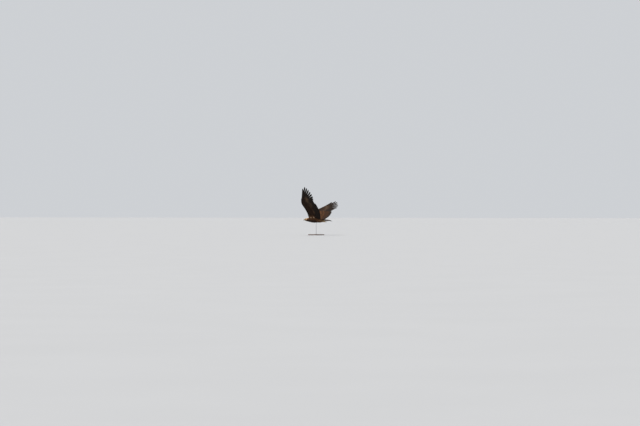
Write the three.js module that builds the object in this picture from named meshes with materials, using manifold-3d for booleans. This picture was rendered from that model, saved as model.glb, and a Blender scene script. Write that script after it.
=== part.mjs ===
// A golden eagle in flapping flight, life size, banking over a plain display stand.
// Millimetres, +Z up. The bird heads towards -Y with its left side on +X. The origin is the middle of
// the underside of the stand's base. The bird is modelled level about the middle of its torso, then
// banked and lifted onto the rod.
import * as THREE from 'three';
import { mergeVertices } from 'three/addons/utils/BufferGeometryUtils.js';
import Module from 'manifold-3d';

const wasm = await Module();
wasm.setup();

// Fits: the gap between pieces that touch, and the room cut for a piece in its neighbour
const GAP = 0.3;
const ROOM = 0.45;

// Vanes: thickness of the three kinds, and the rise from one vane to the next that lies over it
const PRIMARY_THICK = 1.3;
const FLIGHT_THICK = 1.1;
const COVERT_THICK = 0.9;
const TIP_THINNING = 0.45;
const LAYER = 1.6;

// Pose of the bird on its stand
const BANK_DEG = 14.4;
const BODY_HEIGHT = 400;

// How each wing's tip curls up beyond its hand
const TIP_CURL_DEG = 12;
const CURL_FROM = 600;

// Lift of each wing's arm and hand above the body's own level, in degrees. The right wing, on the low side,
// lifts its hand a little more.
const SIDES = [
  { side: 'left', hand: 1, armLift: 46, handLift: 37, seed: 11 },
  { side: 'right', hand: -1, armLift: 44.5, handLift: 42.5, seed: 29 },
];

// Wing plan: places are measured out from the shoulder and back from the front of the wing's root
const SHOULDER = { side: 88, front: 187, up: 52 };
const WRIST_OUT = 378;
const HAND_END = 572;
const SPAN_OUT = 966;
const TWIST_ROOT_DEG = 0.5;
const TWIST_TIP_DEG = 9;
const CAMBER = { sag: 20, from: 60, depth: 340, frontSag: 8, frontDepth: 140 };

// Body: one smooth form from the face to the tail root. Rows are place along Y, half width, top, bottom.
const FACE_Y = -345;
const NAPE_Y = -262;
const NECK_Y = -198;
const RUMP_Y = 196;
const TAIL_CORE_Y = 262;
const BODY_ROWS = [
  [FACE_Y, 13.5, 27.5, -13.5],
  [-338, 17.5, 32, -17],
  [-327, 24.5, 38, -22],
  [-313, 30.5, 42.5, -27.5],
  [-296, 34, 45, -31.5],
  [-280, 36, 46, -35],
  [NAPE_Y, 39.5, 49, -39.5],
  [-230, 48, 56, -47],
  [NECK_Y, 59, 62, -54.5],
  [-115, 82, 72, -69],
  [-40, 88, 74, -72],
  [40, 80, 67, -67],
  [115, 61, 51, -54],
  [170, 42, 32, -36],
  [RUMP_Y, 33, 21, -24],
  [TAIL_CORE_Y, 16, 6, -9],
];
const BODY_SIDES = 18;
const HEAD_LENGTHS = 8;
const NECK_LENGTHS = 4;
const TORSO_LENGTHS = 11;

// Tail: fan of twelve feathers, measured back from its root, drooping a little
const TAIL = { root: 208, up: 2, length: 258, pairs: 6, fanDeg: 1.95, rootGap: 4.6, droop: 0.09 };

// Eyes: middle of the left one, and the way it looks
const EYE = { side: 18.4, y: -321, up: 16.5, radius: 10 };
const EYE_AXIS = [0.92, -0.36, 0.12];
const LID = { radius: 7.6, out: 7.4, thick: 1.9 };

// Feet: middle of the left foot's palm and its toes. bend is each toe's angle above level, base and tip.
const PALM = { side: 34, y: 236, up: -40, wide: 13, long: 14, deep: 9.5 };
const TOES = [
  { name: 'inner', start: [-5, 2, 0], spread: -5, length: 44, bend: [-22, 8], claw: 34 },
  { name: 'middle', start: [2, 4, -1], spread: 2, length: 60, bend: [-20, 10], claw: 28 },
  { name: 'outer', start: [8, 2, 0], spread: 13, length: 46, bend: [-22, 12], claw: 25 },
  { name: 'hind', start: [-11, -4, 5], spread: -18, length: 30, bend: [22, -6], claw: 39 },
];
const CLAW_SWEEP_DEG = 66;

// Stand: a round wooden base, a steel collar and one short rod up into the belly
const BASE = { radius: 215, thick: 24, bevel: 5, sides: 40 };
const COLLAR = { radius: 26, thick: 7, bevel: 2, sides: 20 };
const ROD = { radius: 7, sink: 16, bevel: 1.5, sides: 20 };

// Finishes
const material = (color, roughness, metalness = 0) =>
  new THREE.MeshStandardMaterial({ color, roughness, metalness });
const FINISHES = {
  plumage: material(0x3a2416, 0.85),
  flight: material(0x241a14, 0.7),
  hackles: material(0x9a6a35, 0.8),
  leg_feathers: material(0x6b4a2c, 0.85),
  horn: material(0x2b2d30, 0.35),
  cere: material(0xd9a21e, 0.5),
  eye: material(0x6a3a12, 0.08),
  toes: material(0xd8a41f, 0.55),
  claw: material(0x15130f, 0.3),
  stand_wood: material(0x3a2417, 0.45),
  stand_steel: material(0x8d9092, 0.3, 0.9),
};

// Small maths
const rad = THREE.MathUtils.degToRad;
const lerp = THREE.MathUtils.lerp;
const clamp01 = (x) => THREE.MathUtils.clamp(x, 0, 1);
const smooth = (x) => THREE.MathUtils.smoothstep(x, 0, 1);
const circle = (count, point, offset = 0.5) =>
  Array.from({ length: count }, (_, k) => point((2 * Math.PI * (k + offset)) / count));
const along = (steps, make) => Array.from({ length: steps + 1 }, (_, i) => make(i / steps));

// A smooth curve through rows of numbers, read at any place along the first column
function through(rows) {
  const row = (i) => rows[THREE.MathUtils.clamp(i, 0, rows.length - 1)];
  return (x) => {
    let i = 0;
    while (i < rows.length - 2 && x > rows[i + 1][0]) i += 1;
    const length = rows[i + 1][0] - rows[i][0];
    const t = clamp01((x - rows[i][0]) / length);
    return rows[0].slice(1).map((_, n) => {
      const [a, b, c, d] = [-1, 0, 1, 2].map((k) => row(i + k)[n + 1]);
      const slopeIn = ((c - a) / (row(i + 1)[0] - row(i - 1)[0])) * length;
      const slopeOut = ((d - b) / (row(i + 2)[0] - row(i)[0])) * length;
      const keep = 1 - smooth(t);
      return keep * b + (1 - keep) * c + t * (1 - t) * ((1 - t) * slopeIn - t * slopeOut);
    });
  };
}

// Numbers that look random and come out the same each time
function seeded(seed) {
  let state = seed;
  return () => {
    state = (Math.imul(state, 1664525) + 1013904223) >>> 0;
    return state / 2 ** 32;
  };
}

// A closed solid from a geometry
function solidOf(geometry) {
  const bare = geometry.clone();
  bare.deleteAttribute('normal');
  bare.deleteAttribute('uv');
  const merged = mergeVertices(bare, 1e-3);
  const mesh = new wasm.Mesh({
    numProp: 3,
    vertProperties: Float32Array.from(merged.attributes.position.array),
    triVerts: Uint32Array.from(merged.index.array),
  });
  return new wasm.Manifold(mesh);
}

// A closed skin over rings of points. Strips listed in mirrored are split along their other diagonal, so
// that the two faces of a thin plate bend alike.
function skin(rings, mirrored = []) {
  const n = rings[0].length;
  const index = [];
  for (let i = 0; i + 1 < rings.length; i += 1) {
    for (let k = 0; k < n; k += 1) {
      const a = i * n + k;
      const b = i * n + ((k + 1) % n);
      const [c, d] = [b + n, a + n];
      if (mirrored.includes(k)) index.push(a, b, d, b, c, d);
      else index.push(a, b, c, a, c, d);
    }
  }
  const last = (rings.length - 1) * n;
  for (let k = 1; k + 1 < n; k += 1) index.push(0, k + 1, k, last, last + k, last + k + 1);
  const geometry = new THREE.BufferGeometry();
  const points = rings.flat().flatMap((p) => [p.x, p.y, p.z]);
  geometry.setAttribute('position', new THREE.Float32BufferAttribute(points, 3));
  geometry.setIndex(index);
  const made = solidOf(geometry);
  if (made.volume() > 0) return made;
  geometry.setIndex(index.map((_, i) => index[i - (i % 3) + ((3 - (i % 3)) % 3)]));
  return solidOf(geometry);
}

const join = (solids) => wasm.Manifold.union(solids);

// The largest closed surface of a solid: drops loose scraps and fills sealed hollows
const largest = (solid) => solid.decompose().sort((a, b) => b.volume() - a.volume())[0];

function addMesh(group, name, solid, finish) {
  const { vertProperties, triVerts } = largest(solid).getMesh();
  const geometry = new THREE.BufferGeometry();
  geometry.setAttribute('position', new THREE.BufferAttribute(Float32Array.from(vertProperties), 3));
  geometry.setIndex(new THREE.BufferAttribute(Uint32Array.from(triVerts), 1));
  geometry.computeVertexNormals();
  const mesh = new THREE.Mesh(geometry, FINISHES[finish]);
  mesh.name = name;
  group.add(mesh);
}

// Body: a length of the smooth form, made larger all round by grow to cut room for it in its neighbours
const bodyForm = through(BODY_ROWS);

function bodyBetween(from, to, lengths, grow = 0) {
  const rings = along(lengths, (t) => {
    const y = lerp(from, to, t);
    const end = t === 0 ? -grow : t === 1 ? grow : 0;
    const [half, top, bottom] = bodyForm(y);
    const middle = (top + bottom) / 2;
    const tall = (top - bottom) / 2 + grow;
    const point = (a) => new THREE.Vector3((half + grow) * Math.cos(a), y + end, middle + tall * Math.sin(a));
    return circle(BODY_SIDES, point);
  });
  return skin(rings);
}

const torsoLength = (grow) => bodyBetween(NECK_Y + GAP, RUMP_Y, TORSO_LENGTHS, grow);

// Rings along a path of points, each square to it, with one radius or a wide and a tall one
function tube(at, radius, rows, sides) {
  const across = new THREE.Vector3(1, 0, 0);
  const rings = along(rows, (t) => {
    const heading = at(Math.min(1, t + 0.01)).sub(at(Math.max(0, t - 0.01))).normalize();
    const side = across.clone().addScaledVector(heading, -across.dot(heading)).normalize();
    const up = side.clone().cross(heading);
    const [wide, tall = wide] = [radius(t)].flat();
    const point = (a) =>
      at(t).addScaledVector(side, wide * Math.cos(a)).addScaledVector(up, tall * Math.sin(a));
    return circle(sides, point);
  });
  return skin(rings);
}

// Turns a curve of side, Y and height into points on the bird's left or right
const onSide = (hand, curve) => (t) => {
  const [side, y, up] = curve(t);
  return new THREE.Vector3(hand * side, y, up);
};

// A vane: a thin plate along a feather's shaft. place(out, back, height) maps the feather's plan to space.
// shaft says where it starts, its turn outwards from straight back, its length and any bend. form gives
// the half widths outside and inside the shaft, the height, the distance to the next shaft, which tilts
// the vane so that neighbours lie over one another, the steps along it and the thickness.
function vane(place, shaft, form) {
  const rings = form.steps.map((r) => {
    const turn = rad(shaft.turn + (shaft.bend || 0) * r);
    const out = shaft.out + Math.sin(turn) * shaft.length * r;
    const back = shaft.back + Math.cos(turn) * shaft.length * r;
    const [outer, inner] = form.half(r);
    const t = (form.thick * (1 - TIP_THINNING * r)) / 2;
    const corner = (w, level) => {
      const height = form.rise(r) + (w / form.gap(r)) * LAYER + level;
      return place(out + Math.cos(turn) * w, back - Math.sin(turn) * w, height);
    };
    return [corner(outer, t), corner(-inner, t), corner(-inner, -t), corner(outer, -t)];
  });
  return skin(rings, [2]);
}

// Half widths of a feather that widens from its root and rounds off at its tip
const FEATHER_TIP = 0.08;
function rounded(outer, inner, rootShare) {
  return (r) => {
    const widen = lerp(rootShare, 1, smooth(r / 0.4));
    const tip = Math.sqrt(1 - clamp01((r - 0.8) / 0.2) ** 2.4);
    const share = Math.max(FEATHER_TIP, widen * tip);
    return [outer * share, inner * share];
  };
}

const FLIGHT_STEPS = [0, 0.4, 0.8, 0.94, 1];
const COVERT_STEPS = [0, 0.78, 0.95, 1];
const SMALL_STEPS = [0, 0.84, 1];

// Wing: a bent sheet. spanLine follows the front of the wing outwards and gives how far it goes to the
// side and up, and its slope.
const SPAN_STEP = 10;

function spanLine(out, { armLift, handLift }) {
  const curl = (s) => TIP_CURL_DEG * clamp01((s - CURL_FROM) / (SPAN_OUT - CURL_FROM)) ** 1.5;
  const lift = (s) => rad(lerp(armLift, handLift, smooth((s - WRIST_OUT + 75) / 150)) + curl(s));
  let side = Math.min(out, 0) * Math.cos(lift(0));
  let up = Math.min(out, 0) * Math.sin(lift(0));
  for (let s = 0; s < out; s += SPAN_STEP) {
    const width = Math.min(SPAN_STEP, out - s);
    side += Math.cos(lift(s + width / 2)) * width;
    up += Math.sin(lift(s + width / 2)) * width;
  }
  return { side, up, lift: lift(Math.max(0, out)) };
}

function wingPlace(hand, lifts) {
  return (out, back, height) => {
    const line = spanLine(out, lifts);
    const share = clamp01(out / 900);
    const twist = rad(lerp(TWIST_ROOT_DEG, TWIST_TIP_DEG, share));
    const behind = back - CAMBER.from;
    const sagBehind = CAMBER.sag * (behind / CAMBER.depth) ** 2;
    const sagAhead = CAMBER.frontSag * (behind / CAMBER.frontDepth) ** 2;
    const rise = height - (behind > 0 ? sagBehind : sagAhead) * (1 - 0.5 * share);
    const normal = rise * Math.cos(twist) - back * Math.sin(twist);
    return new THREE.Vector3(
      hand * (SHOULDER.side + line.side - Math.sin(line.lift) * normal),
      -SHOULDER.front + back * Math.cos(twist) + rise * Math.sin(twist),
      SHOULDER.up + line.up + Math.cos(line.lift) * normal,
    );
  };
}

// The wing's flesh, from inside the torso to the fingertip: front edge, rear edge and thickness
const FLESH_START = -80;
const fleshForm = through([
  [FLESH_START, 12, 178, 40],
  [0, 0, 158, 29],
  [110, -4, 138, 21],
  [235, -34, 98, 17],
  [330, -70, 30, 14],
  [WRIST_OUT, -87, 0, 12.5],
  [430, -88, -12, 10],
  [500, -70, -20, 7],
  [HAND_END, -42, -24, 3.2],
]);
const FLESH_LENGTHS = 10;
const FLESH_STEPS = [0, 0.05, 0.25, 0.6, 1];
const FLESH_REAR = { root: 8.5, hand: 4.5 };
const UNDERSIDE_SHARE = 0.62;

function wingFlesh(place) {
  const rings = along(FLESH_LENGTHS, (t) => {
    const out = lerp(FLESH_START, HAND_END, t);
    const [front, rear, thick] = fleshForm(out);
    const rearHalf = lerp(FLESH_REAR.root, FLESH_REAR.hand, smooth(out / WRIST_OUT)) * Math.min(1, thick / 6);
    const arched = (x) => 2.38 * thick * Math.sqrt(x) * (1 - x) ** 0.8;
    const bulge = (x) => arched(x) + rearHalf * Math.min(x / 0.7, (1.15 - x) / 0.33, 1);
    const point = (x, side) => place(out, lerp(front, rear, x), side * bulge(x));
    const upper = FLESH_STEPS.map((x) => point(x, 1));
    const lower = FLESH_STEPS.slice(1).map((x) => point(x, -UNDERSIDE_SHARE));
    return [...upper, ...lower.reverse()];
  });
  return skin(rings);
}

// Feathers of the arm, in tiers: roots run along the forearm and tips along the trailing edge, read from
// the wrist to the body. from and to say how much of the way between them a tier's vanes cover.
const armRoot = through([[0, 366, -30], [0.33, 255, 62], [0.66, 130, 100], [1, -4, 108]]);
const armTip = through([[0, 440, 366], [0.25, 334, 395], [0.5, 222, 411], [0.75, 108, 403], [1, -22, 366]]);
const ARM_ROOT_SPAN = 370;
const ARM_TIP_SPAN = 456;
const ARM_TIERS = [
  { name: 'flight', count: 17, from: 0, to: 1, half: [23, 31], rise: [0, 0], steps: FLIGHT_STEPS },
  { name: 'greater', count: 14, from: 0, to: 0.47, half: [21, 27], rise: [5.8, 4.3], steps: COVERT_STEPS },
  { name: 'median', count: 9, from: 0, to: 0.25, half: [30, 35], rise: [9.4, 8], steps: SMALL_STEPS },
  { name: 'under', count: 8, from: 0, to: 0.42, half: [30, 36], rise: [-5.2, -4.4], steps: SMALL_STEPS },
];
const LENGTH_VARIES = 0.03;

function armTier(place, random, tier) {
  return along(tier.count - 1, (t) => {
    const [rootOut, rootBack] = armRoot(t);
    const [tipOut, tipBack] = armTip(t);
    const reach = tier.to * (1 + LENGTH_VARIES * (random() - 0.5)) - tier.from;
    const shaft = {
      out: lerp(rootOut, tipOut, tier.from),
      back: lerp(rootBack, tipBack, tier.from),
      turn: THREE.MathUtils.radToDeg(Math.atan2(tipOut - rootOut, tipBack - rootBack)),
      length: Math.hypot(tipOut - rootOut, tipBack - rootBack) * reach,
    };
    return vane(place, shaft, {
      half: rounded(...tier.half, 0.7),
      rise: (r) => lerp(...tier.rise, r),
      gap: (r) => lerp(ARM_ROOT_SPAN, ARM_TIP_SPAN, lerp(tier.from, tier.to, r)) / (tier.count - 1),
      steps: tier.steps,
      thick: tier.name === 'flight' ? FLIGHT_THICK : COVERT_THICK,
    });
  });
}

// Primaries: ten on the hand, from the wrist out, each with its length and its turn from straight back
const PRIMARIES = [
  [384, 14.7],
  [405, 21.2],
  [442, 26.6],
  [498, 31.6],
  [522, 37.2],
  [540, 43],
  [550, 48.9],
  [548, 54.5],
  [530, 60.2],
  [428, 65.6],
];
const PRIMARY_GAP = 14.4;
const PRIMARY_START = { out: WRIST_OUT + 7, back: -36, slant: 0.4 };
const PRIMARY_STEPS = [0, 0.3, 0.55, 0.7, 0.86, 0.96, 1];
const PRIMARY_HALF = { base: [18, 38], finger: [17, 26.5] };
const PRIMARY_COVERTS = [
  { every: 1, share: 0.36, half: [14, 22], rise: [5, 4.2] },
  { every: 2, share: 0.32, half: [22, 34], rise: [-5, -4.4] },
];

// A primary's half widths: broad, then cut in to a narrower finger on the outer feathers
function fingered(j) {
  const cut = clamp01((j - 1.5) / 2);
  return (r) => {
    const widen = lerp(0.3, 1, smooth(r / 0.4));
    const narrow = smooth((r - 0.56) / 0.16) * cut;
    const tip = Math.sqrt(1 - clamp01((r - 0.86) / 0.14) ** 2.2);
    const share = Math.max(FEATHER_TIP, widen * tip);
    return [0, 1].map((k) => lerp(PRIMARY_HALF.base[k], PRIMARY_HALF.finger[k], narrow) * share);
  };
}

function primaries(place, random) {
  const last = PRIMARIES.length - 1;
  return PRIMARIES.flatMap(([plain, turn], j) => {
    const [before, after] = [Math.max(j - 1, 0), Math.min(j + 1, last)];
    const fan = rad(PRIMARIES[after][1] - PRIMARIES[before][1]) / (after - before);
    const length = plain * (1 + (LENGTH_VARIES / 2) * (random() - 0.5));
    const root = {
      out: PRIMARY_START.out + PRIMARY_GAP * j,
      back: PRIMARY_START.back - PRIMARY_START.slant * j,
      turn,
    };
    const gapOver = (reach) => (r) => PRIMARY_GAP * Math.cos(rad(turn)) + 1.5 + fan * reach * r;
    const quill = vane(place, { ...root, turn: turn - 1.5, bend: 1.5, length }, {
      half: fingered(j),
      rise: () => 0,
      gap: gapOver(length),
      steps: PRIMARY_STEPS,
      thick: PRIMARY_THICK,
    });
    const coverts = PRIMARY_COVERTS.filter((tier) => j % tier.every === 0).map((tier) =>
      vane(place, { ...root, length: length * tier.share }, {
        half: rounded(...tier.half, 0.5),
        rise: (r) => lerp(...tier.rise, r),
        gap: gapOver(length * tier.share),
        steps: SMALL_STEPS,
        thick: COVERT_THICK,
      }),
    );
    return [quill, ...coverts];
  });
}

// The alula: a few short stiff feathers on the thumb, along the front of the hand
const ALULA = { lengths: [148, 120, 94], out: 398, back: -68, turn: 80, half: [9, 14], gap: 12 };

function alula(place) {
  return ALULA.lengths.map((length, j) =>
    vane(place, { out: ALULA.out, back: ALULA.back + 4 * j, turn: ALULA.turn - 2 * j, length }, {
      half: rounded(...ALULA.half, 0.6),
      rise: (r) => 7 + 1.8 * j * r,
      gap: () => ALULA.gap,
      steps: SMALL_STEPS,
      thick: COVERT_THICK,
    }),
  );
}

// Scapulars: broad feathers over the shoulder that lie back across the inmost flight feathers
const SCAPULARS = { count: 5, out: 50, back: 88, spacing: 19, length: 196, half: [22, 25], rise: [15, 12] };

function scapulars(place) {
  return along(SCAPULARS.count - 1, (t) => {
    const j = t * (SCAPULARS.count - 1);
    const shaft = {
      out: SCAPULARS.out - SCAPULARS.spacing * j,
      back: SCAPULARS.back + 3 * j,
      turn: -3 - 2 * j,
      length: SCAPULARS.length - 9 * j,
    };
    return vane(place, shaft, {
      half: rounded(...SCAPULARS.half, 0.7),
      rise: (r) => lerp(...SCAPULARS.rise, r),
      gap: () => SCAPULARS.spacing + 1,
      steps: SMALL_STEPS,
      thick: COVERT_THICK,
    });
  });
}

function wing({ hand, seed, ...lifts }) {
  const place = wingPlace(hand, lifts);
  const random = seeded(seed);
  const arm = ARM_TIERS.flatMap((tier) => armTier(place, random, tier));
  const fingers = primaries(place, random);
  const pieces = [wingFlesh(place), ...arm, ...fingers, ...alula(place), ...scapulars(place)];
  return join(pieces).subtract(torsoLength(ROOM));
}

// Tail: twelve feathers, the middle ones on top, with coverts over and under their roots
const TAIL_HALF = [22, 30];
const TAIL_COVERTS = [
  { count: 4, length: 128, half: 22, rise: [11, 8.6], lower: -0.6 },
  { count: 4, length: 150, half: 24, rise: [-12, -9.4], lower: 0.6 },
];
const COVERT_GAP = 9;
const tailPlace = (hand) => (out, back, height) =>
  new THREE.Vector3(hand * out, TAIL.root + back, TAIL.up + height - TAIL.droop * back);

function tailFeathers(hand) {
  return along(TAIL.pairs - 1, (t) => {
    const k = t * (TAIL.pairs - 1);
    const onTop = hand === 1 && k === 0;
    const shaft = {
      out: 3 + TAIL.rootGap * k,
      back: 0,
      turn: 0.8 + TAIL.fanDeg * k,
      length: TAIL.length - 1.1 * k * k,
    };
    const half = (r) => {
      const [outer, inner] = rounded(...TAIL_HALF, 0.35)(r);
      const toMiddle = shaft.out + Math.sin(rad(shaft.turn)) * shaft.length * r - GAP;
      return [outer, onTop ? inner : Math.min(inner, toMiddle)];
    };
    return vane(tailPlace(hand), shaft, {
      half,
      rise: (r) => (onTop ? lerp(2.4, 2, r) : 0),
      gap: (r) => TAIL.rootGap + rad(TAIL.fanDeg) * TAIL.length * r,
      steps: FLIGHT_STEPS,
      thick: FLIGHT_THICK,
    });
  });
}

function tailCoverts(tier) {
  return along(tier.count - 1, (t) => {
    const x = (t - 0.5) * (tier.count - 1);
    const shaft = { out: 5.2 * x, back: 4, turn: 3.4 * x, length: tier.length * (1 - 0.035 * x * x) };
    return vane(tailPlace(1), shaft, {
      half: rounded(tier.half, tier.half, 0.5),
      rise: (r) => lerp(...tier.rise, r) + tier.lower * Math.abs(x),
      gap: () => COVERT_GAP,
      steps: SMALL_STEPS,
      thick: COVERT_THICK,
    });
  });
}

function tail() {
  const core = bodyBetween(RUMP_Y + GAP, TAIL_CORE_Y, 3);
  return join([core, ...tailFeathers(1), ...tailFeathers(-1), ...TAIL_COVERTS.flatMap(tailCoverts)]);
}

// Bill: a deep hooked upper half over a short lower half. Each row gives the top and the bottom edge of a
// cross-section, as distance ahead and height, and its half width.
const upperBillForm = through([
  [0, 336, 29.5, 338, -3, 15.4],
  [0.12, 344, 29.4, 345, -4, 14.6],
  [0.25, 352, 28.4, 352, -5, 13],
  [0.4, 362, 25.6, 359.5, -5.8, 11],
  [0.53, 370, 20.8, 366, -5.2, 9.2],
  [0.65, 377, 13.8, 371.5, -5, 7.3],
  [0.76, 382.4, 5.2, 376, -6.4, 5.5],
  [0.86, 386, -4, 379.8, -9.6, 4],
  [0.94, 388, -12, 384, -14, 2.5],
  [1, 388.4, -19, 387.2, -19.6, 0.8],
]);
const lowerBillForm = through([
  [0, 338, -5.6, 338, -13.6, 11.4],
  [0.4, 352, -6.4, 352, -14.2, 10.4],
  [0.75, 365, -6.8, 365, -12.8, 7.4],
  [1, 374.5, -7.6, 374.8, -9.6, 2.4],
]);
const CERE_END = 0.25;
const BEAK_START = 0.258;
const HEAD_COVERS_BILL = 0.4;
const BILL_SIDES = 12;

function billLength(form, from, to, lengths, grow = 0) {
  const rings = along(lengths, (t) => {
    const [topAhead, topUp, lowAhead, lowUp, half] = form(lerp(from, to, t));
    const past = t === 0 ? -grow : 0;
    const point = (a) => {
      const level = (Math.max(Math.sin(a), -0.8) + 0.8) / 1.8;
      const wide = (half + grow) * Math.cos(a) * (1 - 0.2 * Math.sin(a));
      const ahead = lerp(lowAhead, topAhead, level) + past;
      return new THREE.Vector3(wide, -ahead, lerp(lowUp - grow, topUp + grow, level));
    };
    return circle(BILL_SIDES, point);
  });
  return skin(rings);
}

// The lip of the gape, from the side of the cere to under the eye
const GAPE = { from: -347, to: -320, up: -4.6, drop: 3.6, side: 13.2, thick: 1.7 };

function gape(hand, grow = 0) {
  const curve = (t) => {
    const y = lerp(GAPE.from, GAPE.to, t);
    const [side, , up] = headSide(Math.max(y, -340), GAPE.up - GAPE.drop * t, 0.7);
    return [Math.min(side, lerp(GAPE.side, 40, t)), y, up];
  };
  const thick = GAPE.thick + grow;
  return tube(onSide(hand, curve), (t) => [thick, thick * lerp(1, 0.6, t)], 4, 6);
}

const NOSTRIL = { side: 13.2, y: -347.5, up: 14.5, size: [3, 1.4, 3], slant: -24 };

function nostril(hand) {
  const dent = new THREE.SphereGeometry(1, 8, 6).scale(...NOSTRIL.size).rotateX(rad(NOSTRIL.slant));
  return solidOf(dent.translate(hand * NOSTRIL.side, NOSTRIL.y, NOSTRIL.up));
}

function cere() {
  const base = billLength(upperBillForm, 0, CERE_END, 3);
  return join([base, gape(1), gape(-1)]).subtract(join([nostril(1), nostril(-1)]));
}

// Head: skull with brows and lids, with the eyes and the bill set in it
// A point on the side of the head at a place along Y and a height, moved out by lift
function headSide(y, up, lift) {
  const [half, top, bottom] = bodyForm(y);
  const middle = (top + bottom) / 2;
  const reach = Math.sqrt(Math.max(0.02, 1 - ((up - middle) / ((top - bottom) / 2)) ** 2));
  return [half * reach + lift, y, up];
}

const EYE_DETAIL = 2;
const eyeAt = (hand, geometry) => geometry.translate(hand * EYE.side, EYE.y, EYE.up);
const eyeball = (hand, grow = 0) =>
  solidOf(eyeAt(hand, new THREE.IcosahedronGeometry(EYE.radius + grow, EYE_DETAIL)));

function lid(hand) {
  const axis = new THREE.Vector3(hand * EYE_AXIS[0], EYE_AXIS[1], EYE_AXIS[2]).normalize();
  const turn = new THREE.Quaternion().setFromUnitVectors(new THREE.Vector3(0, 0, 1), axis);
  const ring = new THREE.TorusGeometry(LID.radius, LID.thick, 5, 12).scale(1, 1, 1.2).applyQuaternion(turn);
  const out = axis.multiplyScalar(LID.out);
  return solidOf(eyeAt(hand, ring.translate(out.x, out.y, out.z)));
}

// The bony brow, a ridge from the bill's base back over the eye: place along Y, height, lift and radius
const browForm = through([
  [0, -341, 24.5, -3, 2.5],
  [0.3, -332, 28.5, -2, 4.6],
  [0.6, -319, 30, 0.5, 5.2],
  [1, -298, 28.5, -2.5, 3],
]);

function brow(hand) {
  const radius = (t) => [browForm(t)[3], browForm(t)[3] * 0.75];
  return tube(onSide(hand, (t) => headSide(...browForm(t).slice(0, 3))), radius, 6, 8);
}

function head() {
  const hands = [1, -1];
  const skull = bodyBetween(FACE_Y, NAPE_Y - GAP, HEAD_LENGTHS);
  const upper = billLength(upperBillForm, 0, HEAD_COVERS_BILL, 4, ROOM);
  const lower = billLength(lowerBillForm, 0, HEAD_COVERS_BILL, 2, ROOM);
  const sockets = hands.flatMap((hand) => [gape(hand, ROOM), eyeball(hand, GAP)]);
  const ridges = hands.flatMap((hand) => [brow(hand), lid(hand)]);
  return join([skull, ...ridges]).subtract(join([upper, lower, ...sockets]));
}

// Legs: feathered thighs and shanks, tucked back under the tail
const legPath = through([
  [0, 44, 14, -24],
  [0.3, 46, 84, -31],
  [0.55, 41, 142, -37],
  [0.8, 36, 192, -39],
  [1, PALM.side, PALM.y - 10, PALM.up + 1],
]);
const legRadius = through([[0, 28], [0.2, 31], [0.4, 25], [0.55, 16], [0.62, 12.5], [0.85, 10], [1, 10.5]]);
const HEEL = 0.6;

function legLength(hand, from, to, rows, sides, grow) {
  const curve = (t) => {
    const [side, y, up] = legPath(lerp(from, to, t));
    return [side, y + grow * (2 * t - 1), up];
  };
  return tube(onSide(hand, curve), (t) => legRadius(lerp(from, to, t))[0] + grow, rows, sides);
}
const thigh = (hand, grow = 0) => legLength(hand, 0, HEEL, 6, 12, grow);
const shank = (hand, grow = 0) => legLength(hand, HEEL + 0.003, 1, 4, 10, grow);

// Toes: three that trail with their soles up, and the hind one inside them that closes down
const TOE_ROWS = 4;
const TOE_SIDES = 7;
const CLAW_ROWS = 5;
const CLAW_SIDES = 5;
const toeRadius = (t) => lerp(7.6, 5, t) * (1 + 0.06 * Math.cos(t * Math.PI * 8));
const clawRadius = (t) => [3.5 * (1 - t) ** 0.8 + 0.35, 4.6 * (1 - t) ** 0.8 + 0.4];

// A curve of constant bend that leaves start in the direction spread, turning from one slope to another
function arcFrom(start, spread, length, slope, endSlope) {
  const bend = endSlope - slope;
  return (t) => {
    const forth = (length * (Math.sin(slope + bend * t) - Math.sin(slope))) / bend;
    const rise = (length * (Math.cos(slope) - Math.cos(slope + bend * t))) / bend;
    return [start[0] + Math.sin(spread) * forth, start[1] + Math.cos(spread) * forth, start[2] + rise];
  };
}

function toeCurve(toe) {
  const start = [PALM.side + toe.start[0], PALM.y + toe.start[1], PALM.up + toe.start[2]];
  return arcFrom(start, rad(toe.spread), toe.length, ...toe.bend.map(rad));
}

function clawCurve(toe) {
  const slope = rad(toe.bend[1]);
  const closing = Math.sign(toe.bend[1] - toe.bend[0]) * rad(CLAW_SWEEP_DEG);
  const [side, y, up] = toeCurve(toe)(1);
  const start = [
    side + GAP * Math.sin(rad(toe.spread)) * Math.cos(slope),
    y + GAP * Math.cos(rad(toe.spread)) * Math.cos(slope),
    up + GAP * Math.sin(slope),
  ];
  return arcFrom(start, rad(toe.spread), toe.claw, slope, slope + closing);
}

function foot(hand) {
  const pad = new THREE.SphereGeometry(1, 10, 7).scale(PALM.wide, PALM.long, PALM.deep);
  const palm = solidOf(pad.translate(hand * PALM.side, PALM.y, PALM.up));
  const toes = TOES.map((toe) => tube(onSide(hand, toeCurve(toe)), toeRadius, TOE_ROWS, TOE_SIDES));
  return join([palm, ...toes]).subtract(shank(hand, ROOM));
}

const claw = (toe, hand) => tube(onSide(hand, clawCurve(toe)), clawRadius, CLAW_ROWS, CLAW_SIDES);

// Stand
const bank = new THREE.Matrix4().makeRotationY(rad(-BANK_DEG)).setPosition(0, 0, BODY_HEIGHT);
const BELLY = bodyForm(0)[2];
const ROD_TOP = BODY_HEIGHT + (BELLY + ROD.sink) / Math.cos(rad(BANK_DEG));
const ROD_FOOT = BASE.thick + GAP;

function turned(profile, sides) {
  const points = profile.map(([r, z]) => new THREE.Vector2(r, z));
  return solidOf(new THREE.LatheGeometry(points, sides).rotateX(rad(90)));
}

// A disc or rod standing on bottom, with its top edge bevelled
function round({ radius, bevel, sides }, bottom, top) {
  const edge = [[radius, bottom], [radius, top - bevel], [radius - bevel, top]];
  return turned([[0, bottom], ...edge, [0, top]], sides);
}

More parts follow.
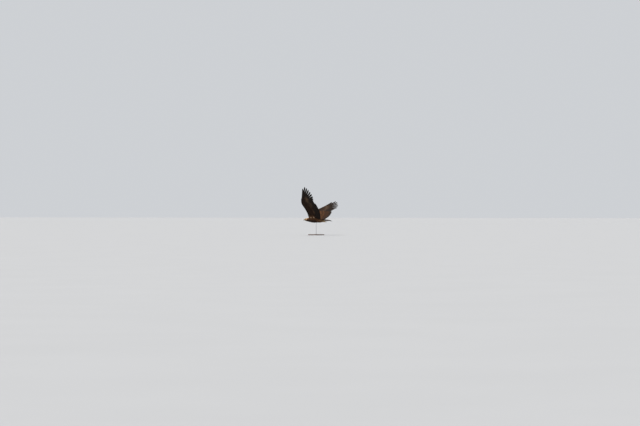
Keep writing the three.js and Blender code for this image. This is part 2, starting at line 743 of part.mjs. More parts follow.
function collar() {
  const [bottom, top] = [BASE.thick + GAP, BASE.thick + COLLAR.thick];
  const hole = { radius: ROD.radius + GAP, bevel: 0.1, sides: ROD.sides };
  return round(COLLAR, bottom, top).subtract(round(hole, bottom - 1, top + 1));
}

// Assembly
const bird = new THREE.Group();
const rodRoom = round({ ...ROD, radius: ROD.radius + GAP }, ROD_FOOT, ROD_TOP + GAP);
const legRoom = [1, -1].flatMap((hand) => [thigh(hand, ROOM), shank(hand, ROOM)]);
const torsoRoom = join([rodRoom.transform(bank.clone().invert().elements), ...legRoom]);
addMesh(bird, 'torso', torsoLength(0).subtract(torsoRoom), 'plumage');
addMesh(bird, 'neck', bodyBetween(NAPE_Y, NECK_Y, NECK_LENGTHS), 'hackles');
addMesh(bird, 'head', head(), 'hackles');
addMesh(bird, 'cere', cere(), 'cere');
addMesh(bird, 'beak_upper', billLength(upperBillForm, BEAK_START, 1, 7), 'horn');
addMesh(bird, 'beak_lower', billLength(lowerBillForm, 0, 1, 5), 'horn');
addMesh(bird, 'tail', tail(), 'flight');
for (const wingSide of SIDES) {
  const { side, hand } = wingSide;
  addMesh(bird, `eye_${side}`, eyeball(hand), 'eye');
  addMesh(bird, `wing_${side}`, wing(wingSide), 'flight');
  addMesh(bird, `thigh_${side}`, thigh(hand), 'leg_feathers');
  addMesh(bird, `shank_${side}`, shank(hand), 'leg_feathers');
  addMesh(bird, `foot_${side}`, foot(hand), 'toes');
  TOES.forEach((toe) => addMesh(bird, `claw_${side}_${toe.name}`, claw(toe, hand), 'claw'));
}
bird.applyMatrix4(bank);

const stand = new THREE.Group();
addMesh(stand, 'stand_base', round(BASE, 0, BASE.thick), 'stand_wood');
addMesh(stand, 'stand_collar', collar(), 'stand_steel');
addMesh(stand, 'stand_rod', round(ROD, ROD_FOOT, ROD_TOP), 'stand_steel');

const eagle = new THREE.Group();
eagle.add(bird, stand);
export default eagle;
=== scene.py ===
"""A golden eagle in flapping flight on a plain display stand, dressed over its solid model."""
import math

import bpy
import numpy as np
from mathutils import Matrix, Vector
from mathutils.kdtree import KDTree


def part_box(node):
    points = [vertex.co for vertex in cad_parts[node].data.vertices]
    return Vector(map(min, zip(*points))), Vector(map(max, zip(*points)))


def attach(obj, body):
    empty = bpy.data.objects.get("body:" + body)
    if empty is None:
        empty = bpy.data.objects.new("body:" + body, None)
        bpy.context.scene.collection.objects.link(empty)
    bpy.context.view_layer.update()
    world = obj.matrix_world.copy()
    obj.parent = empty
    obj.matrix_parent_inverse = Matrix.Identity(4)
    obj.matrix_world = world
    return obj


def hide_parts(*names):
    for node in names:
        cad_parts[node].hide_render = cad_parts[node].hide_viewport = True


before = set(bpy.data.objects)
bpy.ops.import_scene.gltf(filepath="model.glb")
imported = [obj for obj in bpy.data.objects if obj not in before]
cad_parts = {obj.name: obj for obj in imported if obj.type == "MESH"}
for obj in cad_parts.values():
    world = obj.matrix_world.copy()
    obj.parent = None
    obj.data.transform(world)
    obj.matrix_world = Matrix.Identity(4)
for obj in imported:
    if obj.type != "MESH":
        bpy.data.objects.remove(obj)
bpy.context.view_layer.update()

# The studio is a plain pale floor under a pale surround, lit by large soft lights. The camera stands level
# with the bird, far off with a long lens, so the bird is as small and as flat as in the photograph.
IMAGE_SIZE = (640, 426)
TORSO_PIXEL = (316.2, 219.9)
PIXELS_PER_METRE = 38.2
VIEW_AZIMUTH = math.radians(121)
LENS, SENSOR, FAR_CLIP = 135, 36, 400
TORSO_HEIGHT = 0.4
FLOOR_SIZE, LIGHT_DISTANCE = 400, 4


def node(material, kind, inputs=None, **settings):
    """Adds a shader node to a material. Inputs are values, or the sockets of other nodes to link."""
    made = material.node_tree.nodes.new("ShaderNode" + kind)
    for name, value in settings.items():
        setattr(made, name, value)
    for name, value in (inputs or {}).items():
        if isinstance(value, bpy.types.NodeSocket):
            material.node_tree.links.new(value, made.inputs[name])
        else:
            made.inputs[name].default_value = value
    return made


def finish(material, colour=None, normal=None, roughness=None, **constants):
    """Gives a material its colour, normal and roughness, which may be nodes. The rest stays constant."""
    shader = material.node_tree.nodes["Principled BSDF"]
    for socket, value in (("Base Color", colour), ("Normal", normal), ("Roughness", roughness)):
        if isinstance(value, bpy.types.NodeSocket):
            material.node_tree.links.new(value, shader.inputs[socket])
        elif value is not None:
            shader.inputs[socket].default_value = value
    for socket, value in constants.items():
        shader.inputs[socket.replace("_", " ")].default_value = value
    return material


def start_material(name):
    material = bpy.data.materials.new(name)
    material.use_nodes = True
    return material


def placed(material, stretch=None):
    """Coordinates of the object, stretched if asked."""
    place = node(material, "TexCoord").outputs["Object"]
    return place if stretch is None else node(material, "Mapping", {0: place, 3: stretch}).outputs[0]


def noise(material, place, scale, detail):
    return node(material, "TexNoise", {"Vector": place, "Scale": scale, "Detail": detail}).outputs[0]


def blend(material, share, first, second, **settings):
    """Mixes two colours, each a socket or a triple, by a share from 0 to 1."""
    first, second = ((*colour, 1) if isinstance(colour, tuple) else colour for colour in (first, second))
    return node(material, "Mix", {0: share, 6: first, 7: second}, data_type="RGBA", **settings).outputs[2]


paper = start_material("pale_floor")
paper_tone = blend(paper, noise(paper, placed(paper), 1.2, 3), (0.445, 0.45, 0.46), (0.475, 0.48, 0.49))
finish(paper, paper_tone, roughness=0.75)
bpy.ops.object.select_all(action="DESELECT")
bpy.ops.mesh.primitive_grid_add(x_subdivisions=4, y_subdivisions=4, size=FLOOR_SIZE)
floor = bpy.context.object
floor.name = floor.data.name = "floor"
floor.data.materials.append(paper)

surround = bpy.data.worlds.new("surround")
surround.use_nodes = True
surround.node_tree.nodes["Background"].inputs["Color"].default_value = (0.93, 0.96, 1.0, 1)
surround.node_tree.nodes["Background"].inputs["Strength"].default_value = 0.66
bpy.context.scene.world = surround
bpy.context.scene.view_settings.view_transform = "Standard"

# name, azimuth and height of the light in degrees, its apparent width in degrees, strength, colour
LIGHTS = [
    ("key", 62, 60, 14, 2.2, (1.0, 0.955, 0.89)),
    ("back", 250, 40, 30, 0.6, (0.93, 0.96, 1.0)),
    ("front", 350, 30, 40, 0.35, (1.0, 0.98, 0.95)),
]
for name, azimuth, height, width, strength, colour in LIGHTS:
    azimuth, height = math.radians(azimuth), math.radians(height)
    level = math.cos(height)
    toward = Vector((math.sin(azimuth) * level, -math.cos(azimuth) * level, math.sin(height)))
    bpy.ops.object.light_add(type="SUN", location=toward * LIGHT_DISTANCE,
                             rotation=toward.to_track_quat("Z", "Y").to_euler())
    light = bpy.context.object
    light.name = name
    light.data.angle = math.radians(width)
    light.data.energy = strength
    light.data.color = colour

toward_camera = Vector((math.sin(VIEW_AZIMUTH), -math.cos(VIEW_AZIMUTH), 0))
image_right = Vector((math.cos(VIEW_AZIMUTH), math.sin(VIEW_AZIMUTH), 0))
bpy.ops.object.camera_add()
camera = bpy.context.object
camera.data.lens = LENS
camera.data.sensor_width = SENSOR
aim = Vector((0, 0, TORSO_HEIGHT))
aim += image_right * (IMAGE_SIZE[0] / 2 - TORSO_PIXEL[0]) / PIXELS_PER_METRE
aim.z += (TORSO_PIXEL[1] - IMAGE_SIZE[1] / 2) / PIXELS_PER_METRE
camera_distance = IMAGE_SIZE[0] * LENS / SENSOR / PIXELS_PER_METRE
camera.location = aim + toward_camera * camera_distance
camera.rotation_euler = (-toward_camera).to_track_quat("-Z", "Y").to_euler()
camera.data.clip_end = FAR_CLIP
bpy.context.scene.camera = camera

# The skin is one closed surface from the bill to the root of the tail, with the flesh of both wings and both
# legs grown from it. It lies under the coat by the coat's depth, and has the brows and sockets of the head.
BANK = math.radians(-14.4)
BIRD = Matrix.Translation((0, 0, TORSO_HEIGHT)) @ Matrix.Rotation(BANK, 4, "Y")
# place along, half width, top, bottom
BODY_ROWS = [
    (-0.345, 0.0135, 0.0275, -0.0135),
    (-0.338, 0.0175, 0.032, -0.017),
    (-0.327, 0.0245, 0.038, -0.022),
    (-0.313, 0.0305, 0.0425, -0.0275),
    (-0.296, 0.034, 0.045, -0.0315),
    (-0.280, 0.036, 0.046, -0.035),
    (-0.262, 0.0395, 0.049, -0.0395),
    (-0.230, 0.048, 0.056, -0.047),
    (-0.198, 0.059, 0.062, -0.0545),
    (-0.115, 0.082, 0.072, -0.069),
    (-0.040, 0.088, 0.074, -0.072),
    (0.040, 0.080, 0.067, -0.067),
    (0.115, 0.061, 0.051, -0.054),
    (0.170, 0.042, 0.032, -0.036),
    (0.196, 0.033, 0.021, -0.024),
    (0.262, 0.016, 0.006, -0.009),
]
FACE_Y, TAIL_CORE_Y = BODY_ROWS[0][0], BODY_ROWS[-1][0]
COAT_DEPTH_ROWS = [(-0.345, 0.0016), (-0.300, 0.0026), (-0.262, 0.0045), (-0.190, 0.0065), (0.0, 0.0075),
                   (0.196, 0.0055), (0.262, 0.003)]
EYE_PLACE = (0.0184, -0.321, 0.0165)
# place along, height of the brow, how much it stands out
BROW_ROWS = [(-0.345, 0.0215, 0.15), (-0.336, 0.0230, 0.85), (-0.326, 0.0246, 1.0), (-0.315, 0.0254, 0.85),
             (-0.302, 0.0250, 0.35), (-0.288, 0.024, 0.0)]
SKIN_COLUMNS, SKIN_ROWS = 160, 150


def smooth(x):
    x = np.clip(x, 0, 1)
    return x * x * (3 - 2 * x)


def mix(a, b, share):
    return a + (b - a) * share


def through(rows):
    """A smooth curve through rows of numbers, read at places along their first column."""
    rows = np.array(rows, float)
    places, values = rows[:, 0], rows[:, 1:]
    before = np.maximum(np.arange(len(rows)) - 1, 0)
    after = np.minimum(np.arange(len(rows)) + 1, len(rows) - 1)
    slopes = (values[after] - values[before]) / (places[after] - places[before])[:, None]

    def read(x):
        x = np.asarray(x, float)
        i = np.clip(np.searchsorted(places, x, side="right") - 1, 0, len(rows) - 2)
        length = places[i + 1] - places[i]
        t = np.clip((x - places[i]) / length, 0, 1)[..., None]
        keep = 1 - smooth(t)
        bend = t * (1 - t) * ((1 - t) * slopes[i] - t * slopes[i + 1]) * length[..., None]
        return np.moveaxis(keep * values[i] + (1 - keep) * values[i + 1] + bend, -1, 0)

    return read


body_form = through(BODY_ROWS)
coat_depth = through(COAT_DEPTH_ROWS)
brow_form = through(BROW_ROWS)


def shape_head(points):
    """Adds brows, eye sockets, the hollows in front of the eyes and the cheeks to points of a plain head."""
    x, y, z = points[..., 0], points[..., 1], points[..., 2]
    on_side = smooth((np.abs(x) - 0.006) / 0.012)
    brow_up, brow_share = brow_form(y)
    on_head = smooth((-0.285 - y) / 0.01)
    brow_width = np.where(z > brow_up, 0.0085, 0.0026)
    brow = 0.0078 * brow_share * np.exp(-(((z - brow_up) / brow_width) ** 2))
    socket = -0.0012 * np.exp(-((np.hypot((y - EYE_PLACE[1]) / 1.1, z - EYE_PLACE[2]) / 0.0085) ** 2))
    lores = -0.0024 * np.exp(-(((y + 0.336) / 0.007) ** 2) - ((z - 0.014) / 0.007) ** 2)
    cheek = 0.0016 * np.exp(-(((y + 0.305) / 0.014) ** 2) - ((z + 0.004) / 0.012) ** 2)
    crown = -0.0016 * on_head * smooth((z - 0.034) / 0.008) * (1 - on_side)
    out = np.sign(x) * on_side * (brow + socket + lores + cheek)
    return np.stack([x + out, y, z + crown], -1)


def body_section(y):
    """The body's half width at a place along it, and the middle and the half of its height."""
    half, top, bottom = body_form(y)
    return half, (top + bottom) / 2, (top - bottom) / 2


def mean_radius(y):
    half, _, tall = body_section(y)
    return np.sqrt((half ** 2 + tall ** 2) / 2)


def body_point(y, angle, lift):
    """A point of the body's form at a place along it, an angle round it and a height over it."""
    half, middle, tall = body_section(y)
    x = (half + lift) * np.cos(angle)
    z = middle + (tall + lift) * np.sin(angle)
    return shape_head(np.stack(np.broadcast_arrays(x, y, z), -1))


# The plumage is coloured from the crown to the root of the tail. Skin and coat are both marked by these.
BODY_BROWN = np.array((0.070, 0.032, 0.0135))
BACK_BROWN = np.array((0.085, 0.046, 0.022))
# Near black below: partly the eagle's own dark underparts, partly painted shade on the side away from the
# light.
SHADED_BELLY_BROWN = np.array((0.026, 0.0145, 0.009))
GOLD = np.array((0.36, 0.185, 0.068))
PALE_GOLD = np.array((0.68, 0.48, 0.29))
FACE_BROWN = np.array((0.050, 0.025, 0.012))
# A pale buff used for painted highlights on the shoulders and under the wing roots.
SHOULDER_HIGHLIGHT = np.array((0.68, 0.48, 0.33))


def body_marking(points):
    """The body's colour at points: dark brown, darker below with painted shade, golden on crown, nape and
    hindneck, and pale painted highlights at the shoulders.
    """
    x, y, z = points[..., 0, None], points[..., 1, None], points[..., 2, None]
    # Darker towards the belly and lighter on the back: partly the plumage's own tone, partly painted shade
    # on the belly.
    colour = mix(SHADED_BELLY_BROWN, BODY_BROWN, smooth((z + 0.045) / 0.05))
    colour = mix(colour, BACK_BROWN, smooth((z - 0.02) / 0.04))
    upper = smooth((z - mix(0.004, -0.024, smooth((-0.25 - y) / 0.05))) / 0.022)
    hackles = smooth((-0.195 - y) / 0.04) * upper
    colour = mix(colour, GOLD, hackles * 0.9)
    nape = np.exp(-(((y + 0.286) / 0.019) ** 2)) * smooth((z + 0.026) / 0.02)
    colour = mix(colour, PALE_GOLD, nape * 0.8)
    ruff = np.exp(-(((y + 0.258) / 0.009) ** 2)) * smooth((0.036 - z) / 0.02)
    colour = mix(colour, BODY_BROWN, ruff * 0.6)
    face = smooth((-0.303 - y) / 0.010) * smooth((0.0285 - z) / 0.006)
    colour = mix(colour, FACE_BROWN, face * 0.9)
    throat = smooth((-0.26 - y) / 0.03) * smooth((-0.018 - z) / 0.01)
    colour = mix(colour, BODY_BROWN, throat)
    # Two pale spots on each shoulder are painted highlights.
    for spot in (-0.111, -0.028):
        shoulder = np.exp(-(((y - spot) / 0.015) ** 2)) * np.exp(-(((z - 0.047) / 0.014) ** 2))
        colour = mix(colour, SHOULDER_HIGHLIGHT, shoulder * smooth((np.abs(x) - 0.045) / 0.02) * 0.9)
    tail_end = smooth((y - 0.15) / 0.06)
    return mix(colour, SHADED_BELLY_BROWN, tail_end * 0.6)


def wrapped(name, columns, rows, place, marking):
    """A closed tube: a grid of faces rolled up by place(around, along), its seam merged, its ends filled.
    around is an angle, and along is a share of the length. The marking is a colour or reads the same."""
    bpy.ops.object.select_all(action="DESELECT")
    bpy.ops.mesh.primitive_grid_add(x_subdivisions=columns, y_subdivisions=rows, size=1)
    piece = bpy.context.object
    piece.name = piece.data.name = name
    flat = np.empty(len(piece.data.vertices) * 3)
    piece.data.vertices.foreach_get("co", flat)
    shares = flat.reshape(-1, 3)[:, :2] + 0.5
    around, along = shares[:, 0] * 2 * np.pi, shares[:, 1]
    points = place(around, along)
    piece.data.vertices.foreach_set("co", points.ravel())
    colour = marking(around, along, points) if callable(marking) else marking
    colours = np.c_[np.broadcast_to(colour, points.shape), np.ones(len(points))]
    layer = piece.data.color_attributes.new("marking", "FLOAT_COLOR", "POINT")
    layer.data.foreach_set("color", colours.ravel())
    piece.data.uv_layers[0].name = "OFBake"
    bpy.ops.object.mode_set(mode="EDIT")
    bpy.ops.mesh.select_all(action="SELECT")
    bpy.ops.mesh.remove_doubles(threshold=1e-6)
    bpy.ops.mesh.fill_holes(sides=0)
    bpy.ops.mesh.select_all(action="SELECT")
    bpy.ops.mesh.normals_make_consistent(inside=False)
    bpy.ops.object.mode_set(mode="OBJECT")
    return piece


def chart(piece, left, low, right, high):
    """Moves a piece's unwrap into its own part of the shared square."""
    layer = piece.data.uv_layers["OFBake"]
    uv = np.empty(len(layer.data) * 2)
    layer.data.foreach_get("uv", uv)
    uv = uv.reshape(-1, 2) * (right - left, high - low) + (left, low)
    layer.data.foreach_set("uv", uv.ravel())


skin_length = through([(0, FACE_Y), (0.5, -0.262), (1, TAIL_CORE_Y)])


def skin_place(around, along):
    y = skin_length(along)[0]
    return body_point(y, around, -coat_depth(y)[0])


skin = wrapped("skin", SKIN_COLUMNS, SKIN_ROWS, skin_place,
               lambda around, along, points: body_marking(points))
chart(skin, 0, 0, 0.5, 1)

# Each wing's flesh follows the wing's own bent sheet: arm, wrist and hand, thick in front and thin behind.
# The plan of a wing is measured out from the shoulder and back from the front of its root.
# side: hand, lift of the arm and of the hand in degrees
SIDES = {"left": (1, (46, 37)), "right": (-1, (44.5, 42.5))}
SHOULDER = (0.088, 0.187, 0.052)
WRIST_OUT, HAND_END, SPAN_OUT = 0.378, 0.572, 0.966
TIP_CURL, CURL_FROM = 12, 0.6
TWIST_ROOT, TWIST_TIP = 0.5, 9
SPAN_STEP = 0.01
FLESH_START = -0.08
# place out, front and rear of the flesh, thickness
FLESH_ROWS = [
    (FLESH_START, 0.012, 0.178, 0.040),
    (0, 0, 0.158, 0.029),
    (0.110, -0.004, 0.138, 0.021),
    (0.235, -0.034, 0.098, 0.017),
    (0.330, -0.070, 0.030, 0.014),
    (WRIST_OUT, -0.087, 0, 0.0125),
    (0.430, -0.088, -0.012, 0.010),
    (0.500, -0.070, -0.020, 0.007),
    (HAND_END, -0.042, -0.024, 0.0032),
]
REAR_HALF = (0.0085, 0.0045)
UNDERSIDE_SHARE = 0.62
WING_COAT_DEPTH = 0.0025


def wing_lift(out, lifts):
    curl = TIP_CURL * np.clip((out - CURL_FROM) / (SPAN_OUT - CURL_FROM), 0, 1) ** 1.5
    return np.radians(mix(*lifts, smooth((out - WRIST_OUT + 0.075) / 0.15)) + curl)


def wing_point(hand, lifts, out, back, height):
    """A point of a wing at its plan's place out and back, and at a height over the wing's sheet."""
    out, back, height = np.broadcast_arrays(out, back, height)
    middles = np.arange(0, 1.1, SPAN_STEP) + SPAN_STEP / 2
    step_side = np.r_[0, np.cumsum(np.cos(wing_lift(middles, lifts)) * SPAN_STEP)]
    step_up = np.r_[0, np.cumsum(np.sin(wing_lift(middles, lifts)) * SPAN_STEP)]
    steps = np.floor(np.maximum(out, 0) / SPAN_STEP).astype(int)
    rest = np.maximum(out, 0) - steps * SPAN_STEP
    slope = wing_lift(steps * SPAN_STEP + rest / 2, lifts)
    inside = np.minimum(out, 0)
    side = step_side[steps] + np.cos(slope) * rest + inside * np.cos(wing_lift(0, lifts))
    up = step_up[steps] + np.sin(slope) * rest + inside * np.sin(wing_lift(0, lifts))
    lift = wing_lift(np.maximum(out, 0), lifts)
    share = np.clip(out / 0.9, 0, 1)
    twist = np.radians(mix(TWIST_ROOT, TWIST_TIP, share))
    behind = back - 0.060
    sag = np.where(behind > 0, 0.020 * (behind / 0.340) ** 2, 0.008 * (behind / 0.140) ** 2)
    rise = height - sag * (1 - 0.5 * share)
    normal = rise * np.cos(twist) - back * np.sin(twist)
    x = hand * (SHOULDER[0] + side - np.sin(lift) * normal)
    y = -SHOULDER[1] + back * np.cos(twist) + rise * np.sin(twist)
    z = SHOULDER[2] + up + np.cos(lift) * normal
    return np.stack([x, y, z], -1)


flesh_form = through(FLESH_ROWS)


def flesh_height(out, chord):
    """How far the wing's upper surface stands over the sheet, at a share of the chord behind the front."""
    thick = flesh_form(out)[2]
    rear = mix(*REAR_HALF, smooth(out / WRIST_OUT)) * np.minimum(1, thick / 0.006)
    x = np.clip(chord, 0, 1)
    arched = 2.38 * thick * np.sqrt(x) * (1 - x) ** 0.8
    return arched + rear * np.minimum(np.minimum(x / 0.7, (1.15 - x) / 0.33), 1)


UPPER_BROWN = np.array((0.078, 0.034, 0.0125))
UPPER_EDGE = np.array((0.028, 0.015, 0.009))
# The undersides are near black: partly the eagle's own dark underwing, partly painted shade on the side
# turned from the light.
SHADED_UNDER_BROWN = np.array((0.021, 0.0105, 0.006))
SHADED_UNDER_DARK = np.array((0.007, 0.0044, 0.0034))
UNDER_PATCH = np.array((0.110, 0.066, 0.038))
# Pale spots under the root of each wing are painted highlights where light falls on the shoulder.
# place out and back, size out and back, strength
UNDER_HIGHLIGHTS = [(0.0, 0.076, 0.014, 0.015, 0.8), (0.0, 0.158, 0.014, 0.016, 0.8),
               (0.060, 0.250, 0.022, 0.018, 0.30)]


def wing_marking(out, back, upper):
    """A wing's colour in its plan: tawny above with dark margins; near black below, partly the wing's own
    dark underside and partly painted shade, with brown patches and painted highlights.
    """
    out, back = np.broadcast_arrays(out, back)
    front, rear = flesh_form(np.clip(out, 0, HAND_END))[:2]
    chord = ((back - front) / (rear - front))[..., None]
    out = out[..., None]
    above = mix(UPPER_EDGE, UPPER_BROWN, smooth((chord - 0.12) / 0.25) * smooth((0.42 - out) / 0.12))
    above = mix(above, BACK_BROWN, smooth((0.06 - out) / 0.08))
    # Painted shade as well as the underwing's own dark brown.
    below = mix(SHADED_UNDER_DARK, SHADED_UNDER_BROWN, smooth((chord - 0.1) / 0.5))
    below = mix(below, BODY_BROWN, smooth((0.09 - out) / 0.08))
    # Pale painted highlights near the wing's root below.
    for spot_out, spot_back, wide, deep, strength in UNDER_HIGHLIGHTS:
        spot = np.exp(-(((out - spot_out) / wide) ** 2) - ((back[..., None] - spot_back) / deep) ** 2)
        below = mix(below, SHOULDER_HIGHLIGHT, spot * strength)
    return np.where(upper, above, below)


def flesh_place(hand, lifts):
    def place(around, along):
        out = mix(FLESH_START, HAND_END, along)
        front, rear, _ = flesh_form(out)
        chord = (1 + np.cos(around)) / 2
        full = flesh_height(out, chord)
        rounded = np.where(np.cos(around) > 0, smooth(np.abs(np.sin(around)) / 0.35), 1)
        height = np.maximum(full - WING_COAT_DEPTH, full * 0.3) * rounded
        height = np.where(np.sin(around) > 0, height, -UNDERSIDE_SHARE * height)
        return wing_point(hand, lifts, out, mix(front, rear, chord), height)
    return place


def flesh_marking(around, along, points):
    out = mix(FLESH_START, HAND_END, along)
    front, rear, _ = flesh_form(out)
    chord = (1 + np.cos(around)) / 2
    return wing_marking(out, mix(front, rear, chord), (around < np.pi)[:, None])


wing_fleshes = []
for side, (hand, lifts) in SIDES.items():
    flesh = wrapped("flesh_" + side, 40, 60, flesh_place(hand, lifts), flesh_marking)
    chart(flesh, 0.5, 0 if hand > 0 else 0.4, 1, 0.4 if hand > 0 else 0.8)
    wing_fleshes.append(flesh)

# The legs are tucked back under the tail, as an eagle carries them in level flight, and are feathered down
# to the toes. Each is one tapering limb: a deep thigh, and from the heel on a slim shank.
# share of the length, place
LEG_ROWS = [(0, 0.044, 0.014, -0.024), (0.3, 0.046, 0.084, -0.031), (0.55, 0.041, 0.142, -0.037),
            (0.8, 0.036, 0.192, -0.039), (1, 0.034, 0.226, -0.039)]
LEG_RADIUS_ROWS = [(0, 0.028), (0.2, 0.031), (0.4, 0.025), (0.55, 0.016), (0.62, 0.0125), (0.85, 0.010),
                   (1, 0.0105)]
LEG_COAT_DEPTH = 0.0025
LEG_BROWN = np.array((0.16, 0.090, 0.045))
leg_path = through(LEG_ROWS)
leg_radius = through(LEG_RADIUS_ROWS)


def around_path(centre, ahead, angle, wide, tall):
    """Points round a path: its centre and heading, an angle round it, and the two radii."""
    heading = ahead / np.linalg.norm(ahead, axis=-1, keepdims=True)
    side = np.array((1.0, 0, 0)) - heading * heading[..., :1]
    side /= np.linalg.norm(side, axis=-1, keepdims=True)
    up = np.cross(side, heading)
    return centre + side * (wide * np.cos(angle))[..., None] + up * (tall * np.sin(angle))[..., None]


def leg_point(hand, t, angle, lift):
    """A point of a leg at a share of its length, an angle round it and a height over its form."""
    centre = np.moveaxis(leg_path(t), 0, -1) * (hand, 1, 1)
    ahead = (np.moveaxis(leg_path(np.clip(t + 0.01, 0, 1)), 0, -1)
             - np.moveaxis(leg_path(np.clip(t - 0.01, 0, 1)), 0, -1)) * (hand, 1, 1)
    radius = leg_radius(t)[0] + lift
    return around_path(centre, ahead, angle, radius, radius)


def leg_marking(t, points):
    t = np.asarray(t)[..., None]
    return mix(mix(BODY_BROWN, LEG_BROWN, smooth((t - 0.2) / 0.4)), body_marking(points),
               smooth((0.15 - t) / 0.15))


legs = []
for side, (hand, _) in SIDES.items():
    leg = wrapped("leg_" + side, 32, 40,
                  lambda around, along: leg_point(hand, along, around, -LEG_COAT_DEPTH),
                  lambda around, along, points: leg_marking(along, points))
    chart(leg, 0.5 if hand > 0 else 0.75, 0.8, 0.75 if hand > 0 else 1, 1)
    legs.append(leg)


def unite(base, others):
    """Joins closed pieces into one closed surface."""
    for other in others:
        bpy.ops.object.select_all(action="DESELECT")
        bpy.context.view_layer.objects.active = base
        base.select_set(True)
        bpy.ops.object.modifier_add(type="BOOLEAN")
        union = base.modifiers[-1]
        union.operation = "UNION"
        union.solver = "MANIFOLD"
        union.object = other
        bpy.ops.object.modifier_apply(modifier=union.name)
        bpy.data.objects.remove(other)
    # A union leaves the vertices that it makes white: each takes the marking of the nearest other one.
    layer = base.data.color_attributes["marking"]
    flat = np.empty(len(base.data.vertices) * 4)
    layer.data.foreach_get("color", flat)
    colours = flat.reshape(-1, 4)
    bare = colours[:, :3].min(axis=1) > 0.99
    known = KDTree(len(colours))
    for i in np.flatnonzero(~bare):
        known.insert(base.data.vertices[i].co, i)
    known.balance()
    for i in np.flatnonzero(bare):
        colours[i] = colours[known.find(base.data.vertices[i].co)[1]]
    layer.data.foreach_set("color", flat)


def settle(piece, slot, material, *replaced, smooth_angle=60):
    """Puts a finished piece into the stand's frame, gives it its finish and body, and hides the nodes that
    it replaces.
    """
    piece.data.transform(BIRD)
    piece.data.materials.clear()
    piece.data.materials.append(material)
    bpy.ops.object.select_all(action="DESELECT")
    bpy.context.view_layer.objects.active = piece
    piece.select_set(True)
    bpy.ops.object.shade_smooth_by_angle(angle=math.radians(smooth_angle))
    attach(piece, "root")
    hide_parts(*replaced)


unite(skin, wing_fleshes + legs)


def shaded(material, colour, shade):
    return blend(material, 1.0, colour, shade, blend_type="MULTIPLY")


def bumped(material, height, strength, distance):
    return node(material, "Bump", {"Strength": strength, "Distance": distance, "Height": height}).outputs[0]


def marking_of(material):
    """The colour and the alpha that a mesh carries as its own marking."""
    attribute = node(material, "Attribute", attribute_name="marking", attribute_type="GEOMETRY")
    return attribute.outputs["Color"], attribute.outputs["Alpha"]


skin_finish = start_material("feathered_skin")
skin_grain = noise(skin_finish, placed(skin_finish), 420, 4)
skin_dark = blend(skin_finish, skin_grain, (0.35, 0.33, 0.32), (0.75, 0.73, 0.72))
finish(skin_finish, shaded(skin_finish, marking_of(skin_finish)[0], skin_dark),
       bumped(skin_finish, skin_grain, 0.5, 0.0006), 0.8, Specular_IOR_Level=0.2)
settle(skin, "plumage", skin_finish, "torso", "neck", "head", "thigh_left", "thigh_right", "shank_left",
       "shank_right")

# Small feathers cover the body in staggered rows that lie back from the bill: tiny on the face, long and
# pointed on the nape, broad on the back and belly. Each is a thin closed vane, crowned across, with its tip
# lifted off the next one.
BODY_FEATHER_ROWS = [
    # place along the body, spacing along, spacing across, length, half width, how pointed
    (-0.345, 0.0019, 0.0021, 0.0048, 0.0011, 0.75),
    (-0.325, 0.0025, 0.0026, 0.0070, 0.0015, 0.6),
    (-0.300, 0.0036, 0.0031, 0.0110, 0.0019, 0.7),
    (-0.270, 0.0062, 0.0040, 0.0225, 0.0026, 0.9),
    (-0.215, 0.0092, 0.0056, 0.0360, 0.0038, 0.9),
    (-0.170, 0.0115, 0.0095, 0.0380, 0.0070, 0.5),
    (-0.050, 0.0130, 0.0125, 0.0410, 0.0100, 0.2),
    (0.120, 0.0130, 0.0115, 0.0420, 0.0092, 0.2),
    (0.262, 0.0120, 0.0085, 0.0400, 0.0075, 0.35),
]
FEATHER_ROWS = np.array([0, 0.25, 0.5, 0.7, 0.86, 0.96, 1.0])
FACE_FEATHER_ROWS = np.array([0, 0.35, 0.7, 0.9, 1.0])
FEATHER_RING = np.array([(-1, 0), (-0.5, 1), (0, 1.3), (0.5, 1), (1, 0), (0, -1)])
BAKE_PATCH = 0.003


def ring_faces(rows, ring):
    """Faces of a closed form of rings of points, its ends filled, and their corners on an unrolled grid."""
    row, place = np.arange(rows - 1)[:, None], np.arange(ring)[None]
    j = np.arange(ring // 2 - 1)
    corners = [(row, place), (row, place + 1), (row + 1, place + 1), (row + 1, place)]
    caps = [(0, j + 1), (0, j), (0, ring - 1 - j), (0, ring - 2 - j)]
    ends = [(rows - 1, place) for _, place in reversed(caps)]

    def flat(columns, fold):
        groups = ([np.ravel(r * columns + c % fold) for r, c in group] for group in (corners, caps, ends))
        return np.concatenate([np.stack(group, -1) for group in groups])

    return flat(ring, ring), flat(ring + 1, ring + 1)


def vane_block(points, faces, corners, vane, bake, colour):
    """A block of a coat: points, faces, the places of their corners in two maps, and the points' colours."""
    corners = corners.ravel()
    return (points.reshape(-1, 3), faces.reshape(-1, 4), vane.reshape(-1, 2)[corners],
            bake.reshape(-1, 2)[corners], colour.reshape(-1, 4))


